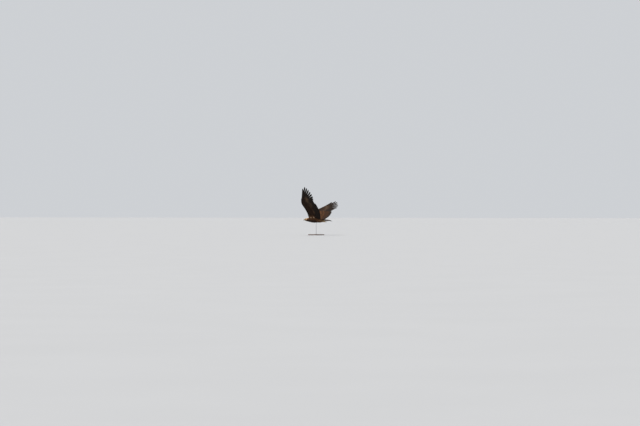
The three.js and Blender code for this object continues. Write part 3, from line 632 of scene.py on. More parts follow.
def small_feathers(place, across, along, turn, length, half, rise, pointed, lean, thick, steps):
    """Points of many small feathers, one block for each: rings of points along its shaft. place(across,
    along, height) maps their plan to space, and rise gives each root's and tip's height."""
    def wide(values):
        return np.asarray(values, float)[..., None, None]

    t, k, side_up = steps[None, :, None], FEATHER_RING[:, 0], FEATHER_RING[:, 1]
    widen = mix(0.4, 1, smooth(t / 0.5))
    blunt = np.sqrt(1 - np.clip((t - 0.62) / 0.38, 0, 1) ** 2.3)
    sharp = 1 - 0.97 * np.clip((t - 0.35) / 0.65, 0, 1) ** 1.35
    width = wide(half) * np.maximum(0.06, widen * mix(blunt, sharp, wide(pointed)))
    forth, side = wide(length) * t, k * width
    height = mix(wide(rise[0]), wide(rise[1]), t ** 0.9) + 0.16 * width * (1 - k * k)
    height = height + side_up * thick / 2 * (1 - 0.6 * t) + wide(lean) * k
    turn = wide(turn)
    return place(wide(across) + np.sin(turn) * forth + np.cos(turn) * side,
                 wide(along) + np.cos(turn) * forth - np.sin(turn) * side, height)


def feather_block(points, steps, bake_root, colour):
    """A block of small feathers, each with a small patch of the unwrap about its root's place there."""
    count, rows, ring = points.shape[:3]
    faces, corners = ring_faces(rows, ring)
    many = np.arange(count)[:, None, None]
    across = (FEATHER_RING[np.arange(ring + 1) % ring, 0] + 1) / 2
    vane = np.stack(np.broadcast_arrays(across, np.tile(steps[:, None], (count, 1, 1))), -1)
    bake = bake_root[:, None, None] + BAKE_PATCH * (vane - 0.5)
    colour = np.broadcast_to(colour.reshape(count, -1, 1, 4), (count, rows, ring, 4))
    return vane_block(points, faces + many * rows * ring, corners + many * rows * (ring + 1), vane, bake,
                      colour)


def coat_piece(name, blocks, slot, material, *replaced):
    """One mesh of many closed vanes, with their faces turned outwards."""
    start, all_faces, maps = 0, [], []
    for points, faces, vane, bake, _ in blocks:
        a, b, c, d = (points[faces[:, i]] - points[0] for i in range(4))
        volume = np.einsum("ij,ij->", a, np.cross(b, c)) + np.einsum("ij,ij->", a, np.cross(c, d))
        order = [0, 1, 2, 3] if volume > 0 else [3, 2, 1, 0]
        all_faces.append(faces[:, order] + start)
        maps.append([uv.reshape(-1, 4, 2)[:, order].reshape(-1, 2) for uv in (bake, vane)])
        start += len(points)
    faces = np.concatenate(all_faces)
    points, colour = (np.concatenate([block[i] for block in blocks]) for i in (0, 4))
    mesh = bpy.data.meshes.new(name)
    mesh.vertices.add(len(points))
    mesh.vertices.foreach_set("co", points.ravel())
    mesh.loops.add(faces.size)
    mesh.loops.foreach_set("vertex_index", faces.ravel())
    mesh.polygons.add(len(faces))
    mesh.polygons.foreach_set("loop_start", np.arange(0, faces.size, 4))
    for i, layer_name in enumerate(("OFBake", "Vane")):
        layer = mesh.uv_layers.new(name=layer_name)
        layer.data.foreach_set("uv", np.concatenate([pair[i] for pair in maps]).ravel())
    layer = mesh.color_attributes.new("marking", "FLOAT_COLOR", "POINT")
    layer.data.foreach_set("color", colour.ravel())
    mesh.update(calc_edges=True)
    piece = bpy.data.objects.new(name, mesh)
    bpy.context.scene.collection.objects.link(piece)
    settle(piece, slot, material, *replaced, smooth_angle=50)


random = np.random.default_rng(5)


def wobble(amount, *shape):
    """Random numbers about zero, up to half of amount either way."""
    return amount * (random.random(*shape) - 0.5)


def jittered(colours, amount=0.16):
    """Each feather a little lighter or darker, and a little redder or greyer, than its neighbours."""
    light = 1 + amount * (random.random((len(colours), 1)) * 2 - 1)
    warm = 0.05 * (random.random((len(colours), 1)) * 2 - 1)
    varied = np.clip(colours * light * (1 + warm * np.array((1, 0, -1))), 0, 1)
    return np.c_[varied, np.zeros(len(varied))]


def spread(material, value, start, end, low, high):
    """Carries a value from one range to another."""
    return node(material, "MapRange", {0: value, 1: start, 2: end, 3: low, 4: high}).outputs[0]


def maths(material, operation, *values):
    return node(material, "Math", dict(enumerate(values)), operation=operation).outputs[0]


def feather_finish(name, barbs, fringe, shaft_line, bars=5):
    """The finish of a vane: its own marking, a paler fringe, a shaft line, fine barbs, and dark bars as
    strong as the marking's alpha says."""
    material = start_material(name)
    marking, barred = marking_of(material)
    vane = node(material, "SeparateXYZ", {0: node(material, "UVMap", uv_map="Vane").outputs[0]})
    u, v = vane.outputs[0], vane.outputs[1]
    edge = maths(material, "ABSOLUTE", maths(material, "MULTIPLY_ADD", u, 2.0, -1.0))
    clumps, fine = noise(material, placed(material), 240, 3), noise(material, placed(material), 1500, 2)
    wandering = shaded(material, marking, spread(material, clumps, 0.3, 0.7, 0.78, 1.18))
    near_edge = spread(material, edge, 0.72, 1.0, 0.0, 0.6)
    near_tip = spread(material, v, 0.80, 1.0, 0.0, 1.0)
    rim = maths(material, "MULTIPLY", maths(material, "MAXIMUM", near_edge, near_tip), fringe)
    colour = blend(material, rim, wandering, shaded(material, wandering, (2.3, 2.15, 1.95)))
    dark = shaded(material, colour, (0.35, 0.33, 0.32))
    colour = blend(material, spread(material, edge, 0.02, 0.07, shaft_line, 0.0), colour, dark)
    wave = maths(material, "SINE", maths(material, "MULTIPLY_ADD", v, bars * 2 * math.pi, clumps))
    band = maths(material, "MULTIPLY", spread(material, wave, 0.0, 0.8, 0.0, 0.7), barred)
    colour = blend(material, band, colour, dark)
    lines = maths(material, "MULTIPLY_ADD", v, barbs, maths(material, "MULTIPLY", edge, -barbs * 0.12))
    relief = maths(material, "MULTIPLY_ADD", maths(material, "SINE", lines), 0.5, fine)
    return finish(material, colour, bumped(material, relief, 0.35, 0.00025), 0.62, Specular_IOR_Level=0.07,
                  Sheen_Weight=0.008, Sheen_Roughness=0.4)


def feather_roots(place, end, form, radius, stray, length=1.0):
    """Where the small feathers of a body or limb grow, along and round it, in staggered rows that stray."""
    places, angles, row = [], [], 0
    while place < end:
        spacing, apart = (float(value) for value in form(place)[:2])
        count = max(8, round(2 * math.pi * float(radius(place)) / apart))
        angles.append((np.arange(count) + 0.5 * (row % 2) + wobble(stray[0], count)) * 2 * np.pi / count)
        places.append(place + spacing / length * wobble(stray[1], count))
        place += spacing / length
        row += 1
    return places, angles


body_feather = through(BODY_FEATHER_ROWS)
contour_finish = feather_finish("contour_feathers", barbs=240, fringe=0.35, shaft_line=0.3)
hackle_finish = feather_finish("hackle_feathers", barbs=220, fringe=0.4, shaft_line=0.25)
BODY_COAT_FROM, FACE_TO, NECK_TO, BODY_COAT_TO = -0.3385, -0.285, -0.19, TAIL_CORE_Y - 0.01
EYE_RINGS = [(0.0066, 40, 0.0034), (0.0078, 42, 0.0040), (0.0092, 44, 0.0046), (0.0106, 46, 0.0052)]
roots_y, roots_angle = feather_roots(BODY_COAT_FROM, BODY_COAT_TO, body_feather, mean_radius, (0.22, 0.35))
roots_turn = [np.zeros(len(row_angles)) for row_angles in roots_angle]

# rings of short feathers round the eyes: radius, count, length
for ring, count, long in EYE_RINGS:
    spin = (np.arange(count) + wobble(0.3, count)) * 2 * np.pi / count
    ring_y, ring_z = EYE_PLACE[1] + 1.05 * ring * np.cos(spin), EYE_PLACE[2] + ring * np.sin(spin)
    _, middle, tall = body_section(ring_y)
    climb = np.arcsin(np.clip((ring_z - middle) / tall, -1, 1))
    for hand in (1, -1):
        roots_y.append(ring_y)
        roots_angle.append(climb if hand > 0 else np.pi - climb)
        roots_turn.append(hand * np.arctan2(np.sin(spin), 0.55 + np.cos(spin)) * 0.85)
ring_count = 2 * sum(count for _, count, _ in EYE_RINGS)
ring_lengths = np.concatenate([np.full(2 * count, long) for _, count, long in EYE_RINGS])
roots_y, roots_angle, roots_turn = (np.concatenate(parts) for parts in (roots_y, roots_angle, roots_turn))
in_ring = np.arange(len(roots_y)) >= len(roots_y) - ring_count

root_points = body_point(roots_y, roots_angle, 0.0)
EYE_CLEAR = 0.0069
GAPE_LINE, GAPE_END, GAPE_CLEAR = [(-0.352, -0.0044), (-0.338, -0.0052), (-0.320, -0.0078)], -0.319, 0.0019
WING_ROOT_FROM, WING_ROOT_TO, WING_ROOT_CLIMB, WING_ROOT_WIDTH = -0.185, -0.04, 33, 13
ROD_OUT, ROD_CLEAR = -0.018, 0.012


def eye_clearance(points, length):
    """How long each feather may be before it would lie over the eye, and zero where its root would."""
    side = np.abs(points[:, 0]) > 0.008
    off = points[:, 2] - EYE_PLACE[2]
    reach = np.sqrt(np.maximum(EYE_CLEAR ** 2 - off ** 2, 0))
    ahead = EYE_PLACE[1] - reach - points[:, 1]
    inside = side & (np.hypot(off, points[:, 1] - EYE_PLACE[1]) < EYE_CLEAR)
    short = side & (np.abs(off) < EYE_CLEAR) & (ahead > 0)
    length = np.where(short, np.minimum(length, np.maximum(ahead, 0)), length)
    return np.where(inside, 0, length)


lengths = body_feather(roots_y)[2] * (1 + wobble(0.3, len(roots_y)))
lengths = eye_clearance(root_points, lengths)
lengths[in_ring] = ring_lengths * (1 + wobble(0.2, ring_count))
root_out, root_along, root_up = root_points.T
gape_up = np.interp(root_along, *zip(*GAPE_LINE))
on_gape = (root_along < GAPE_END) & (np.abs(root_up - gape_up) < GAPE_CLEAR)
root_climb = np.degrees(np.arctan2(root_up, np.abs(root_out)))
in_wing = np.abs(root_climb - WING_ROOT_CLIMB) < WING_ROOT_WIDTH
in_wing &= (root_along > WING_ROOT_FROM) & (root_along < WING_ROOT_TO)
under_rod = (np.hypot(root_out - ROD_OUT, root_along) < ROD_CLEAR) & (root_up < 0)
kept = (lengths > 0.002) & ~on_gape & ~in_wing & ~under_rod


def body_coat(name, chosen, steps, slot, material):
    """The body's small feathers at the chosen roots, as one piece."""
    y, angle, turn, long = roots_y[chosen], roots_angle[chosen], roots_turn[chosen], lengths[chosen]
    radius = mean_radius(y)
    depth = coat_depth(y)[0]
    _, _, plain_length, half_width, pointed = body_feather(y)
    half_width = half_width * np.clip(long / plain_length, 0.6, 1.2)
    jitter = random.random((3, len(y))) - 0.5

    def place(across, along, height):
        return body_point(along, angle[:, None, None] + across / radius[:, None, None], height)

    rise = (-depth * 0.92, -depth * 0.05 + 0.0012 * jitter[0])
    lean = np.where(np.cos(angle) > 0, 1, -1) * depth * 0.07
    thick = float(np.clip(long.mean() * 0.02, 0.00022, 0.0007))
    points = small_feathers(place, 0, y, turn + 0.34 * jitter[1], long, half_width, rise,
                            np.clip(pointed + 0.3 * jitter[2], 0, 1), lean, thick, steps)
    colour = jittered(body_marking(body_point(y + long * 0.6, angle, 0.0)))
    bake = np.stack([(angle / (2 * np.pi)) % 1 * 0.5, (y - FACE_Y) / (TAIL_CORE_Y - FACE_Y)], -1)
    coat_piece(name, [feather_block(points, steps, bake, colour)], slot, material)


on_face, on_body = roots_y < FACE_TO, roots_y >= NECK_TO
body_coat("face_feathers", kept & on_face, FACE_FEATHER_ROWS, "hackles", hackle_finish)
body_coat("neck_hackles", kept & ~on_face & ~on_body, FEATHER_ROWS, "hackles", hackle_finish)
body_coat("body_feathers", kept & on_body, FEATHER_ROWS, "plumage", contour_finish)

# Large feathers are modelled in rows of barbs: an outer and an inner vane on a tapering shaft. Each vane is
# a thin closed sheet whose rows slant as the barbs do, parted here and there where barbs are unhooked.
LAYER = 0.0016
BARB_SLOPE = 1.15
VANE_COLUMNS = np.array([0, 0.3, 0.65, 1.0])
QUILL_RING = 6
FLIGHT_BROWN = np.array((0.048, 0.0220, 0.0095))
FLIGHT_GREY = np.array((0.145, 0.110, 0.082))
FLIGHT_TIP = np.array((0.018, 0.012, 0.009))
# Under faces of the flight feathers are darkened with painted shade as well as their own colour.
SHADED_UNDER_FLIGHT = np.array((0.014, 0.0092, 0.0068))
TAIL_GREY = np.array((0.078, 0.060, 0.046))
TAIL_BAND = np.array((0.020, 0.014, 0.011))


def blunt_tip(root_share, tip_from=0.8, power=2.4):
    """How wide a feather is along its shaft, as a share of its full width."""
    def share(r):
        tip = np.sqrt(1 - np.clip((r - tip_from) / (1 - tip_from), 0, 1) ** power)
        return np.maximum(0.02, mix(root_share, 1, smooth(r / 0.4)) * tip)
    return share


def plumed(place, root, turn, length, half, rise, gap, colour, cell, rows, cuts=(), bend=0, thick=0.0006,
           quill=0.0009):
    """Blocks of one large feather. half, rise and gap are read along the shaft, colour at a place along it,
    across it and on its upper or lower face, and cell is the feather's part of its piece's unwrap."""
    columns = len(VANE_COLUMNS)
    share = np.r_[VANE_COLUMNS, VANE_COLUMNS[::-1]][None]
    upper = np.r_[np.ones(columns), -np.ones(columns)][None]
    edge = 1 - (1 - np.linspace(0, 1, rows)) ** 1.35
    u0, v0, u1, v1 = cell
    blocks = []

    def plan(s, w):
        angle = np.radians(turn + bend * s)
        out = root[0] + np.sin(angle) * length * s + np.cos(angle) * w
        return out, root[1] + np.cos(angle) * length * s - np.sin(angle) * w

    def at(s, w, height):
        t = np.clip(s, 0, 1)
        return place(*plan(s, w), rise(t) + w / gap(t) * LAYER + height)

    for sign, strip in ((1, (0.0, 0.42)), (-1, (0.42, 0.88))):
        full = half(edge)[0 if sign > 0 else 1]
        full = full * (1 + wobble(0.012, rows))
        slope = min(BARB_SLOPE, 0.17 * length / full.max())
        shaft_end = np.clip(edge - full * slope / length * smooth(edge / 0.12), 0, 1)
        stops = [0]
        for cut in sorted(cuts[int(sign > 0)::2]):
            if cut < 0.95 and int(cut * (rows - 1)) > stops[-1] + 2:
                stops.append(int(cut * (rows - 1)))
        stops.append(rows - 1)
        for first, last in zip(stops, stops[1:]):
            chosen = slice(first, last + 1)
            s = mix(shaft_end[chosen, None], edge[chosen, None], share ** 1.2)
            opening = 0.0012 / length * (0.5 + random.random())
            s[0] += opening * share[0] ** 1.5 * (first > 0)
            s[-1] -= opening * share[0] ** 1.5 * (last < rows - 1)
            w = sign * share * full[chosen, None]
            plump = thick / 2 * (1 - 0.55 * share) * (1 - 0.4 * s) * np.ones_like(w)
            points = at(s, w, upper * plump - 0.0005 * share ** 2)
            faces, corners = ring_faces(*w.shape)
            k = np.broadcast_to(sign * share, w.shape)
            vane = np.stack([np.c_[k, k[:, :1]] / 2 + 0.5, np.c_[s, s[:, :1]]], -1)
            unrolled = np.linspace(*strip, 2 * columns + 1)[None] * (u1 - u0) + u0
            bake = np.stack(np.broadcast_arrays(unrolled, mix(v0, v1, np.c_[s, s[:, :1]])), -1)
            shade = colour(s, k, np.broadcast_to(upper > 0, w.shape), *plan(s, w))
            blocks.append(vane_block(points, faces, corners, vane, bake, shade))
    s = np.linspace(-0.04, 0.985, max(6, rows // 3))[:, None]
    angle = np.arange(QUILL_RING)[None] * 2 * np.pi / QUILL_RING
    radius = quill * (1 - 0.8 * np.clip(s, 0, 1)) ** 1.1
    points = at(s, radius * np.cos(angle), radius * np.sin(angle) * 0.8 - 0.25 * radius)
    faces, corners = ring_faces(len(s), QUILL_RING)
    t = np.clip(s, 0, 1)
    strip = np.linspace(0.89, 1, QUILL_RING + 1)[None] * (u1 - u0) + u0
    bake = np.stack(np.broadcast_arrays(strip, mix(v0, v1, t)), -1)
    vane = np.stack(np.broadcast_arrays(np.full(strip.shape, 0.5), t), -1)
    t = t + 0 * angle
    shade = colour(t, 0 * t, np.sin(angle) + 0 * t > 0, *plan(t, 0)) * (1.5, 1.5, 1.5, 0)
    blocks.append(vane_block(points, faces, corners, vane, bake, shade))
    return blocks


def cells(count, rows):
    """Parts of a piece's unwrap, one for each of its large feathers."""
    columns = math.ceil(count / rows)
    for i in range(count):
        row, column = divmod(i, columns)
        yield (column + 0.05) / columns, (row + 0.02) / rows, (column + 0.95) / columns, (row + 0.98) / rows


def tinted(colour, bars):
    """A colour with the strength of its bars as alpha."""
    shape = np.broadcast_shapes(colour.shape[:-1], np.shape(bars))
    alpha = np.broadcast_to(bars, shape)[..., None]
    return np.concatenate([np.broadcast_to(colour, (*shape, 3)), alpha], -1)


# Brown patches under the wing: place out and back, size out and back, strength
UNDER_PATCHES = [(0.560, 0.130, 0.060, 0.045, 1.0), (0.470, 0.120, 0.040, 0.040, 0.5),
                 (0.370, 0.190, 0.070, 0.040, 0.6), (0.165, 0.222, 0.045, 0.018, 0.6)]


def under_patches(out, back):
    shares = [strength * np.exp(-(((out - at_out) / wide) ** 2) - ((back - at_back) / deep) ** 2)
              for at_out, at_back, wide, deep, strength in UNDER_PATCHES]
    return np.clip(sum(shares), 0, 1)


def flight_look(primary):
    """The marking of a wing's flight feather: greyer and barred towards its base, blackish at its tip, and
    darker below, partly its own colour and partly painted shade."""
    tone = 1 + wobble(0.16)
    greyed, tip_from, patched, barred = (0.5, 0.45, 1.0, 0.9) if primary else (0.12, 0.72, 0.7, 1.0)

    def colour(s, k, upper, out, back):
        s3, inner = s[..., None], smooth(-k)[..., None]
        base = mix(FLIGHT_BROWN, FLIGHT_GREY, inner * greyed)
        if primary:
            base = mix(base, FLIGHT_GREY, 0.4 * smooth((0.6 - s3) / 0.3))
        above = mix(base, FLIGHT_TIP, smooth((s3 - tip_from) / 0.2) * 0.9)
        below = mix(SHADED_UNDER_FLIGHT, UNDER_PATCH, under_patches(out, back)[..., None] * patched)
        below = mix(below, SHADED_UNDER_DARK, smooth((s3 - 0.7) / 0.25) * 0.8)
        bars = barred * smooth((0.74 - s) / 0.1) * mix(0.35, 1.0, smooth(-k)) * np.where(upper, 1, 0.5)
        return tinted(np.where(upper[..., None], above, below) * tone, bars)
    return colour


def covert_look(top, edge, under, patched=0):
    """The marking of a covert: its own brown, darker at the root, and a paler edge near the tip."""
    tone = 1 + wobble(0.22)

    def colour(s, k, upper, out, back):
        s3 = s[..., None]
        rim = smooth((s3 - 0.8) / 0.2) * 0.5 + 0.25 * smooth((np.abs(k)[..., None] - 0.7) / 0.3)
        brown = mix(mix(top * 0.55, top, smooth(s3 / 0.6)), edge, rim)
        below = mix(np.asarray(under), UNDER_PATCH, under_patches(out, back)[..., None] * patched)
        return tinted(np.where(upper[..., None], brown, below) * tone, np.zeros(s.shape))
    return colour


# share of the arm from the wrist, place out and back
ARM_ROOT = through([(0, 0.366, -0.030), (0.33, 0.255, 0.062), (0.66, 0.130, 0.100), (1, -0.004, 0.108)])
ARM_TIP = through([(0, 0.440, 0.366), (0.25, 0.334, 0.395), (0.5, 0.222, 0.411), (0.75, 0.108, 0.403),
                   (1, -0.022, 0.366)])
ARM_SPANS = (0.370, 0.456)
SECONDARIES = 17
# count, from, to, outer and inner half widths, height at root and tip, rows, colour on top and at the edge
ARM_COVERTS = [
    (17, 0.0, 0.47, (0.019, 0.025), (0.0056, 0.0042), 18, UPPER_BROWN * 0.72, UPPER_BROWN * 1.4),
    (20, 0.0, 0.25, (0.016, 0.021), (0.0090, 0.0078), 14, UPPER_BROWN * 1.0, UPPER_BROWN * 1.5),
    (17, 0.0, 0.42, (0.020, 0.026), (-0.0052, -0.0042), 14, SHADED_UNDER_BROWN, SHADED_UNDER_BROWN * 1.3),
    (20, 0.0, 0.20, (0.016, 0.020), (-0.0082, -0.0072), 12, SHADED_UNDER_BROWN * 0.8, SHADED_UNDER_BROWN * 1.2),
]
# length and turn, from the wrist out
PRIMARY_SHAPES = [(0.384, 14.7), (0.405, 21.2), (0.442, 26.6), (0.498, 31.6), (0.522, 37.2), (0.540, 43.0),
                  (0.550, 48.9), (0.548, 54.5), (0.530, 60.2), (0.428, 65.6)]
PRIMARY_GAP = 0.0144
PRIMARY_ROOT = (WRIST_OUT + 0.007, -0.036, -0.0004)
# outer and inner half widths of the broad part and of the finger
PRIMARY_HALF = ((0.018, 0.038), (0.017, 0.0265))
# height, share of the primary's length, outer and inner half widths, colours
HAND_COVERTS = [
    (0.0050, 0.36, (0.014, 0.022), (UPPER_EDGE * 1.2, UPPER_BROWN * 0.7, SHADED_UNDER_DARK)),
    (-0.0048, 0.32, (0.015, 0.024), (SHADED_UNDER_BROWN, SHADED_UNDER_BROWN * 1.5, SHADED_UNDER_BROWN * 0.7, 0.9)),
]
ALULA_SHAPES, ALULA_ROOT = [(0.148, 80), (0.120, 78), (0.094, 76)], (0.398, -0.068)
# count, place out and back of the first, length, height at root and tip
SCAPULAR_ROWS = [(6, 0.060, 0.090, 0.190, 0.0148, 0.0116), (6, 0.054, 0.070, 0.150, 0.0172, 0.0142),
                 (6, 0.048, 0.052, 0.112, 0.0196, 0.0168), (6, 0.044, 0.034, 0.082, 0.0218, 0.0190)]
flight_finish = feather_finish("flight_feathers", barbs=420, fringe=0.12, shaft_line=0.5, bars=7)
covert_finish = feather_finish("covert_feathers", barbs=190, fringe=0.45, shaft_line=0.4)


def arm_feather(t, start, end):
    """Root, turn and length of a feather of the arm, t = 0 at the wrist and 1 at the body."""
    (root_out, root_back), (tip_out, tip_back) = ARM_ROOT(t), ARM_TIP(t)
    turn = math.degrees(math.atan2(tip_out - root_out, tip_back - root_back))
    full = math.hypot(tip_out - root_out, tip_back - root_back)
    root = float(mix(root_out, tip_out, start)), float(mix(root_back, tip_back, start))
    return root, turn, full * (end - start)


def primary_root(j):
    return PRIMARY_ROOT[0] + PRIMARY_GAP * j, PRIMARY_ROOT[1] + PRIMARY_ROOT[2] * j


def primary_apart(turn):
    """How far apart two primaries lie at their roots, measured across them."""
    return PRIMARY_GAP * math.cos(math.radians(turn)) + 0.0015


def fingered(j):
    """Half widths of a primary: broad, then cut in to a narrower finger on the outer feathers."""
    cut = min(max((j - 1.5) / 2, 0), 1)
    share = blunt_tip(0.3, 0.86, 2.2)

    def half(r):
        narrow = smooth((r - 0.56) / 0.16) * cut
        return [mix(broad, slim, narrow) * share(r) for broad, slim in zip(*PRIMARY_HALF)]
    return half


def halves(outer, inner, root_share=0.6):
    share = blunt_tip(root_share)
    return lambda r: (outer * share(r), inner * share(r))


def level(*ends):
    return lambda s: mix(*ends, s)


def steady(value):
    return lambda s: value


for side, (hand, lifts) in SIDES.items():
    def place(out, back, height):
        return wing_point(hand, lifts, out, back, height)

    flight, lots = [], cells(SECONDARIES + len(PRIMARY_SHAPES), 1)
    for j in range(SECONDARIES):
        root, turn, length = arm_feather(j / (SECONDARIES - 1), 0, 1 + wobble(0.03))
        flight += plumed(place, root, turn + 1.2, length, halves(0.023, 0.031, 0.7), steady(0),
                         lambda s: mix(*ARM_SPANS, s) / (SECONDARIES - 1), flight_look(False), next(lots),
                         34, random.uniform(0.5, 1.3, 2), bend=-2.4, thick=0.0007, quill=0.0015)
    for j, (length, turn) in enumerate(PRIMARY_SHAPES):
        near, far = max(j - 1, 0), min(j + 1, len(PRIMARY_SHAPES) - 1)
        fan = math.radians(PRIMARY_SHAPES[far][1] - PRIMARY_SHAPES[near][1]) / (far - near)
        length *= 1 + wobble(0.015)
        flight += plumed(place, primary_root(j), turn - 1.5, length, fingered(j), steady(0),
                         lambda s: primary_apart(turn) + fan * length * s, flight_look(True), next(lots),
                         46, random.uniform(0.4, 1.5, 3), bend=1.5, thick=0.0009, quill=0.0021)
    coat_piece("flight_feathers_" + side, flight, "flight", flight_finish, "wing_" + side)

    coverts, hand_count = [], len(HAND_COVERTS) * len(PRIMARY_SHAPES) + len(ALULA_SHAPES)
    lots = cells(sum(tier[0] for tier in ARM_COVERTS + SCAPULAR_ROWS) + hand_count, 3)
    for count, start, end, widths, rise, rows, top, edge in ARM_COVERTS:
        for j in range(count):
            root, turn, length = arm_feather(j / (count - 1), start, end * (1 + wobble(0.10)))
            turn += wobble(2.4)
            shade = covert_look(top, edge, *((top, 0.8) if rise[0] < 0 else (SHADED_UNDER_DARK,)))
            coverts += plumed(place, root, turn + 1, length, halves(*widths), level(*rise),
                              lambda s: mix(*ARM_SPANS, mix(start, end, s)) / (count - 1), shade,
                              next(lots), rows, random.uniform(0.5, 1.4, 1), bend=-2)
    for rise, share, widths, look in HAND_COVERTS:
        for j, (length, turn) in enumerate(PRIMARY_SHAPES):
            shade = covert_look(*look)
            coverts += plumed(place, primary_root(j), turn, length * share * (1 + wobble(0.04)),
                              halves(*widths, 0.5), level(rise, rise * 0.85),
                              lambda s: primary_apart(turn) + 0.1 * length * share * s, shade, next(lots),
                              16, random.uniform(0.45, 1.4, 1))
    for j, (length, turn) in enumerate(ALULA_SHAPES):
        coverts += plumed(place, (ALULA_ROOT[0], ALULA_ROOT[1] + 0.004 * j), turn, length,
                          halves(0.009, 0.014), level(0.007, 0.007 + 0.0018 * j), steady(0.012),
                          flight_look(False), next(lots), 20, random.uniform(0.45, 1.4, 1), thick=0.0007,
                          quill=0.0011)
    for count, out, back, length, root_height, tip_height in SCAPULAR_ROWS:
        for j in range(count):
            shade = covert_look(UPPER_BROWN * 0.72, UPPER_BROWN * 1.3, SHADED_UNDER_DARK)
            coverts += plumed(place, (out - 0.016 * j, back + 0.003 * j), -3 - 2 * j + wobble(5),
                              length * (1 - 0.045 * j) * (1 + wobble(0.12)), halves(0.017, 0.019, 0.7),
                              level(root_height, tip_height), steady(0.020), shade, next(lots), 20,
                              random.uniform(0.45, 1.4, 1), quill=0.0010)
    coat_piece("wing_coverts_" + side, coverts, "plumage", covert_finish, "wing_" + side)

# Small coverts clothe the flesh of each wing above and below, in rows that run out along arm and hand. They
# lie back over one another like tiles, from the leading edge to the bases of the larger coverts.
COVERT_ROW_GAP, COVERT_APART, COVERT_CROWDING = 0.0105, 0.0088, 0.012
COVERT_TURN_ROWS = [(-0.06, -4), (0.05, 0), (0.25, 4), (0.36, 14), (0.44, 34), (0.52, 52), (HAND_END, 62)]


def tier_height(out, upper):
    """The height of the larger coverts behind the flesh, over which the last rows of small ones lie."""
    on_hand = smooth((out - 0.33) / 0.1)
    return mix(0.0086, 0.0054, on_hand) if upper else mix(0.0098, 0.0058, on_hand)


def clothed(hand, lifts, upper):
    """The outer surface of a wing's flesh, as a place for feathers: height counts outwards from it."""
    def surface(out, back):
        front, rear, _ = flesh_form(out)
        chord = (back - front) / (rear - front)
        over = flesh_height(out, chord) * (1 if upper else UNDERSIDE_SHARE)
        low = tier_height(out, upper) + 0.0008
        return np.maximum(over, low * smooth((chord - 0.42) / 0.16))

    def place(out, back, height):
        step = 0.0008
        back = np.maximum(back, flesh_form(out)[0] + 0.0004)
        ground = surface(out, back)
        lean_out = (surface(out + step, back) - ground) / step
        lean_back = np.clip((surface(out, back + step) - ground) / step, -3, 3)
        size = np.sqrt(1 + lean_out ** 2 + lean_back ** 2)
        out, back = out - height * lean_out / size, back - height * lean_back / size
        return wing_point(hand, lifts, out, back, (ground + height / size) * (1 if upper else -1))
    return place


for side, (hand, lifts) in SIDES.items():
    blocks = []
    for upper in (True, False):
        outs, backs = [], []
        out, row = -0.035, 0
        while out < HAND_END - 0.02:
            front, rear, _ = (float(value) for value in flesh_form(max(out, 0)))
            chord = np.arange(0.5 * (row % 2), (rear - front) / COVERT_ROW_GAP + 1.3) * COVERT_ROW_GAP
            chord = chord ** 2 / (chord + COVERT_CROWDING)
            backs.append(front + chord)
            outs.append(np.full(len(chord), out))
            out += COVERT_APART * (0.75 if out > 0.42 else 1)
            row += 1
        outs, backs = np.concatenate(outs), np.concatenate(backs)
        outs = outs + wobble(0.0045, len(outs))
        backs = backs + wobble(0.0050, len(outs))
        turn = np.radians(through(COVERT_TURN_ROWS)(outs)[0]) + wobble(0.36, len(outs))
        on_hand = smooth((outs - 0.36) / 0.16)
        front, rear, _ = flesh_form(np.clip(outs, 0, HAND_END))
        depth = np.clip((backs - front) / 0.06, 0, 1)
        length = mix(0.014, mix(0.031, 0.024, on_hand), depth) * (1 + wobble(0.28, len(outs)))
        half = mix(0.0046, mix(0.0072, 0.0056, on_hand), depth)
        points = small_feathers(clothed(hand, lifts, upper), outs, backs, turn, length, half,
                                (-0.0024, 0.0008 * random.random(len(outs))), mix(0.25, 0.1, depth), 0.0003,
                                0.0004, FACE_FEATHER_ROWS)
        colour = jittered(wing_marking(outs, backs + length * 0.6, upper), 0.3)
        home_across = 0.5 + 0.5 * ((1 if upper else 0) + np.clip((backs + 0.09) / 0.25, 0, 1)) / 2
        home_along = (outs - FLESH_START) / (HAND_END - FLESH_START) * 0.4 + (0 if hand > 0 else 0.4)
        home = np.stack([home_across, home_along], -1)
        blocks.append(feather_block(points, FACE_FEATHER_ROWS, home, colour))
    coat_piece("small_coverts_" + side, blocks, "plumage", covert_finish, "wing_" + side)

# The tail is twelve broad feathers, fanned a little, each lying over the next one out, with tiers of soft
# coverts over and under their bases. It hangs a little below the line of the back.
TAIL_PAIRS, TAIL_LENGTH, TAIL_FEATHER_GAP, TAIL_FAN = 6, 0.258, 0.0046, 1.95
TAIL_ROOT, TAIL_DROP = (0, 0.208, 0.002), 0.09


def tail_place(hand):
    def place(out, back, height):
        out, back, height = np.broadcast_arrays(out, back, height)
        return np.stack([hand * out, TAIL_ROOT[1] + back, TAIL_ROOT[2] + height - TAIL_DROP * back], -1)
    return place


def tail_look(tone):
    def colour(s, k, upper, out, back):
        s3 = s[..., None]
        shade = mix(FLIGHT_BROWN, TAIL_GREY, 0.8 * smooth((0.75 - s3) / 0.3))
        shade = mix(shade, TAIL_BAND, smooth((s3 - 0.70) / 0.06))
        shade = np.where(upper[..., None], shade, mix(shade, UNDER_PATCH, 0.3) * 0.8)
        bars = smooth((0.72 - s) / 0.05) * np.where(upper, 0.9, 0.7)
        return tinted(shade * tone, bars)
    return colour


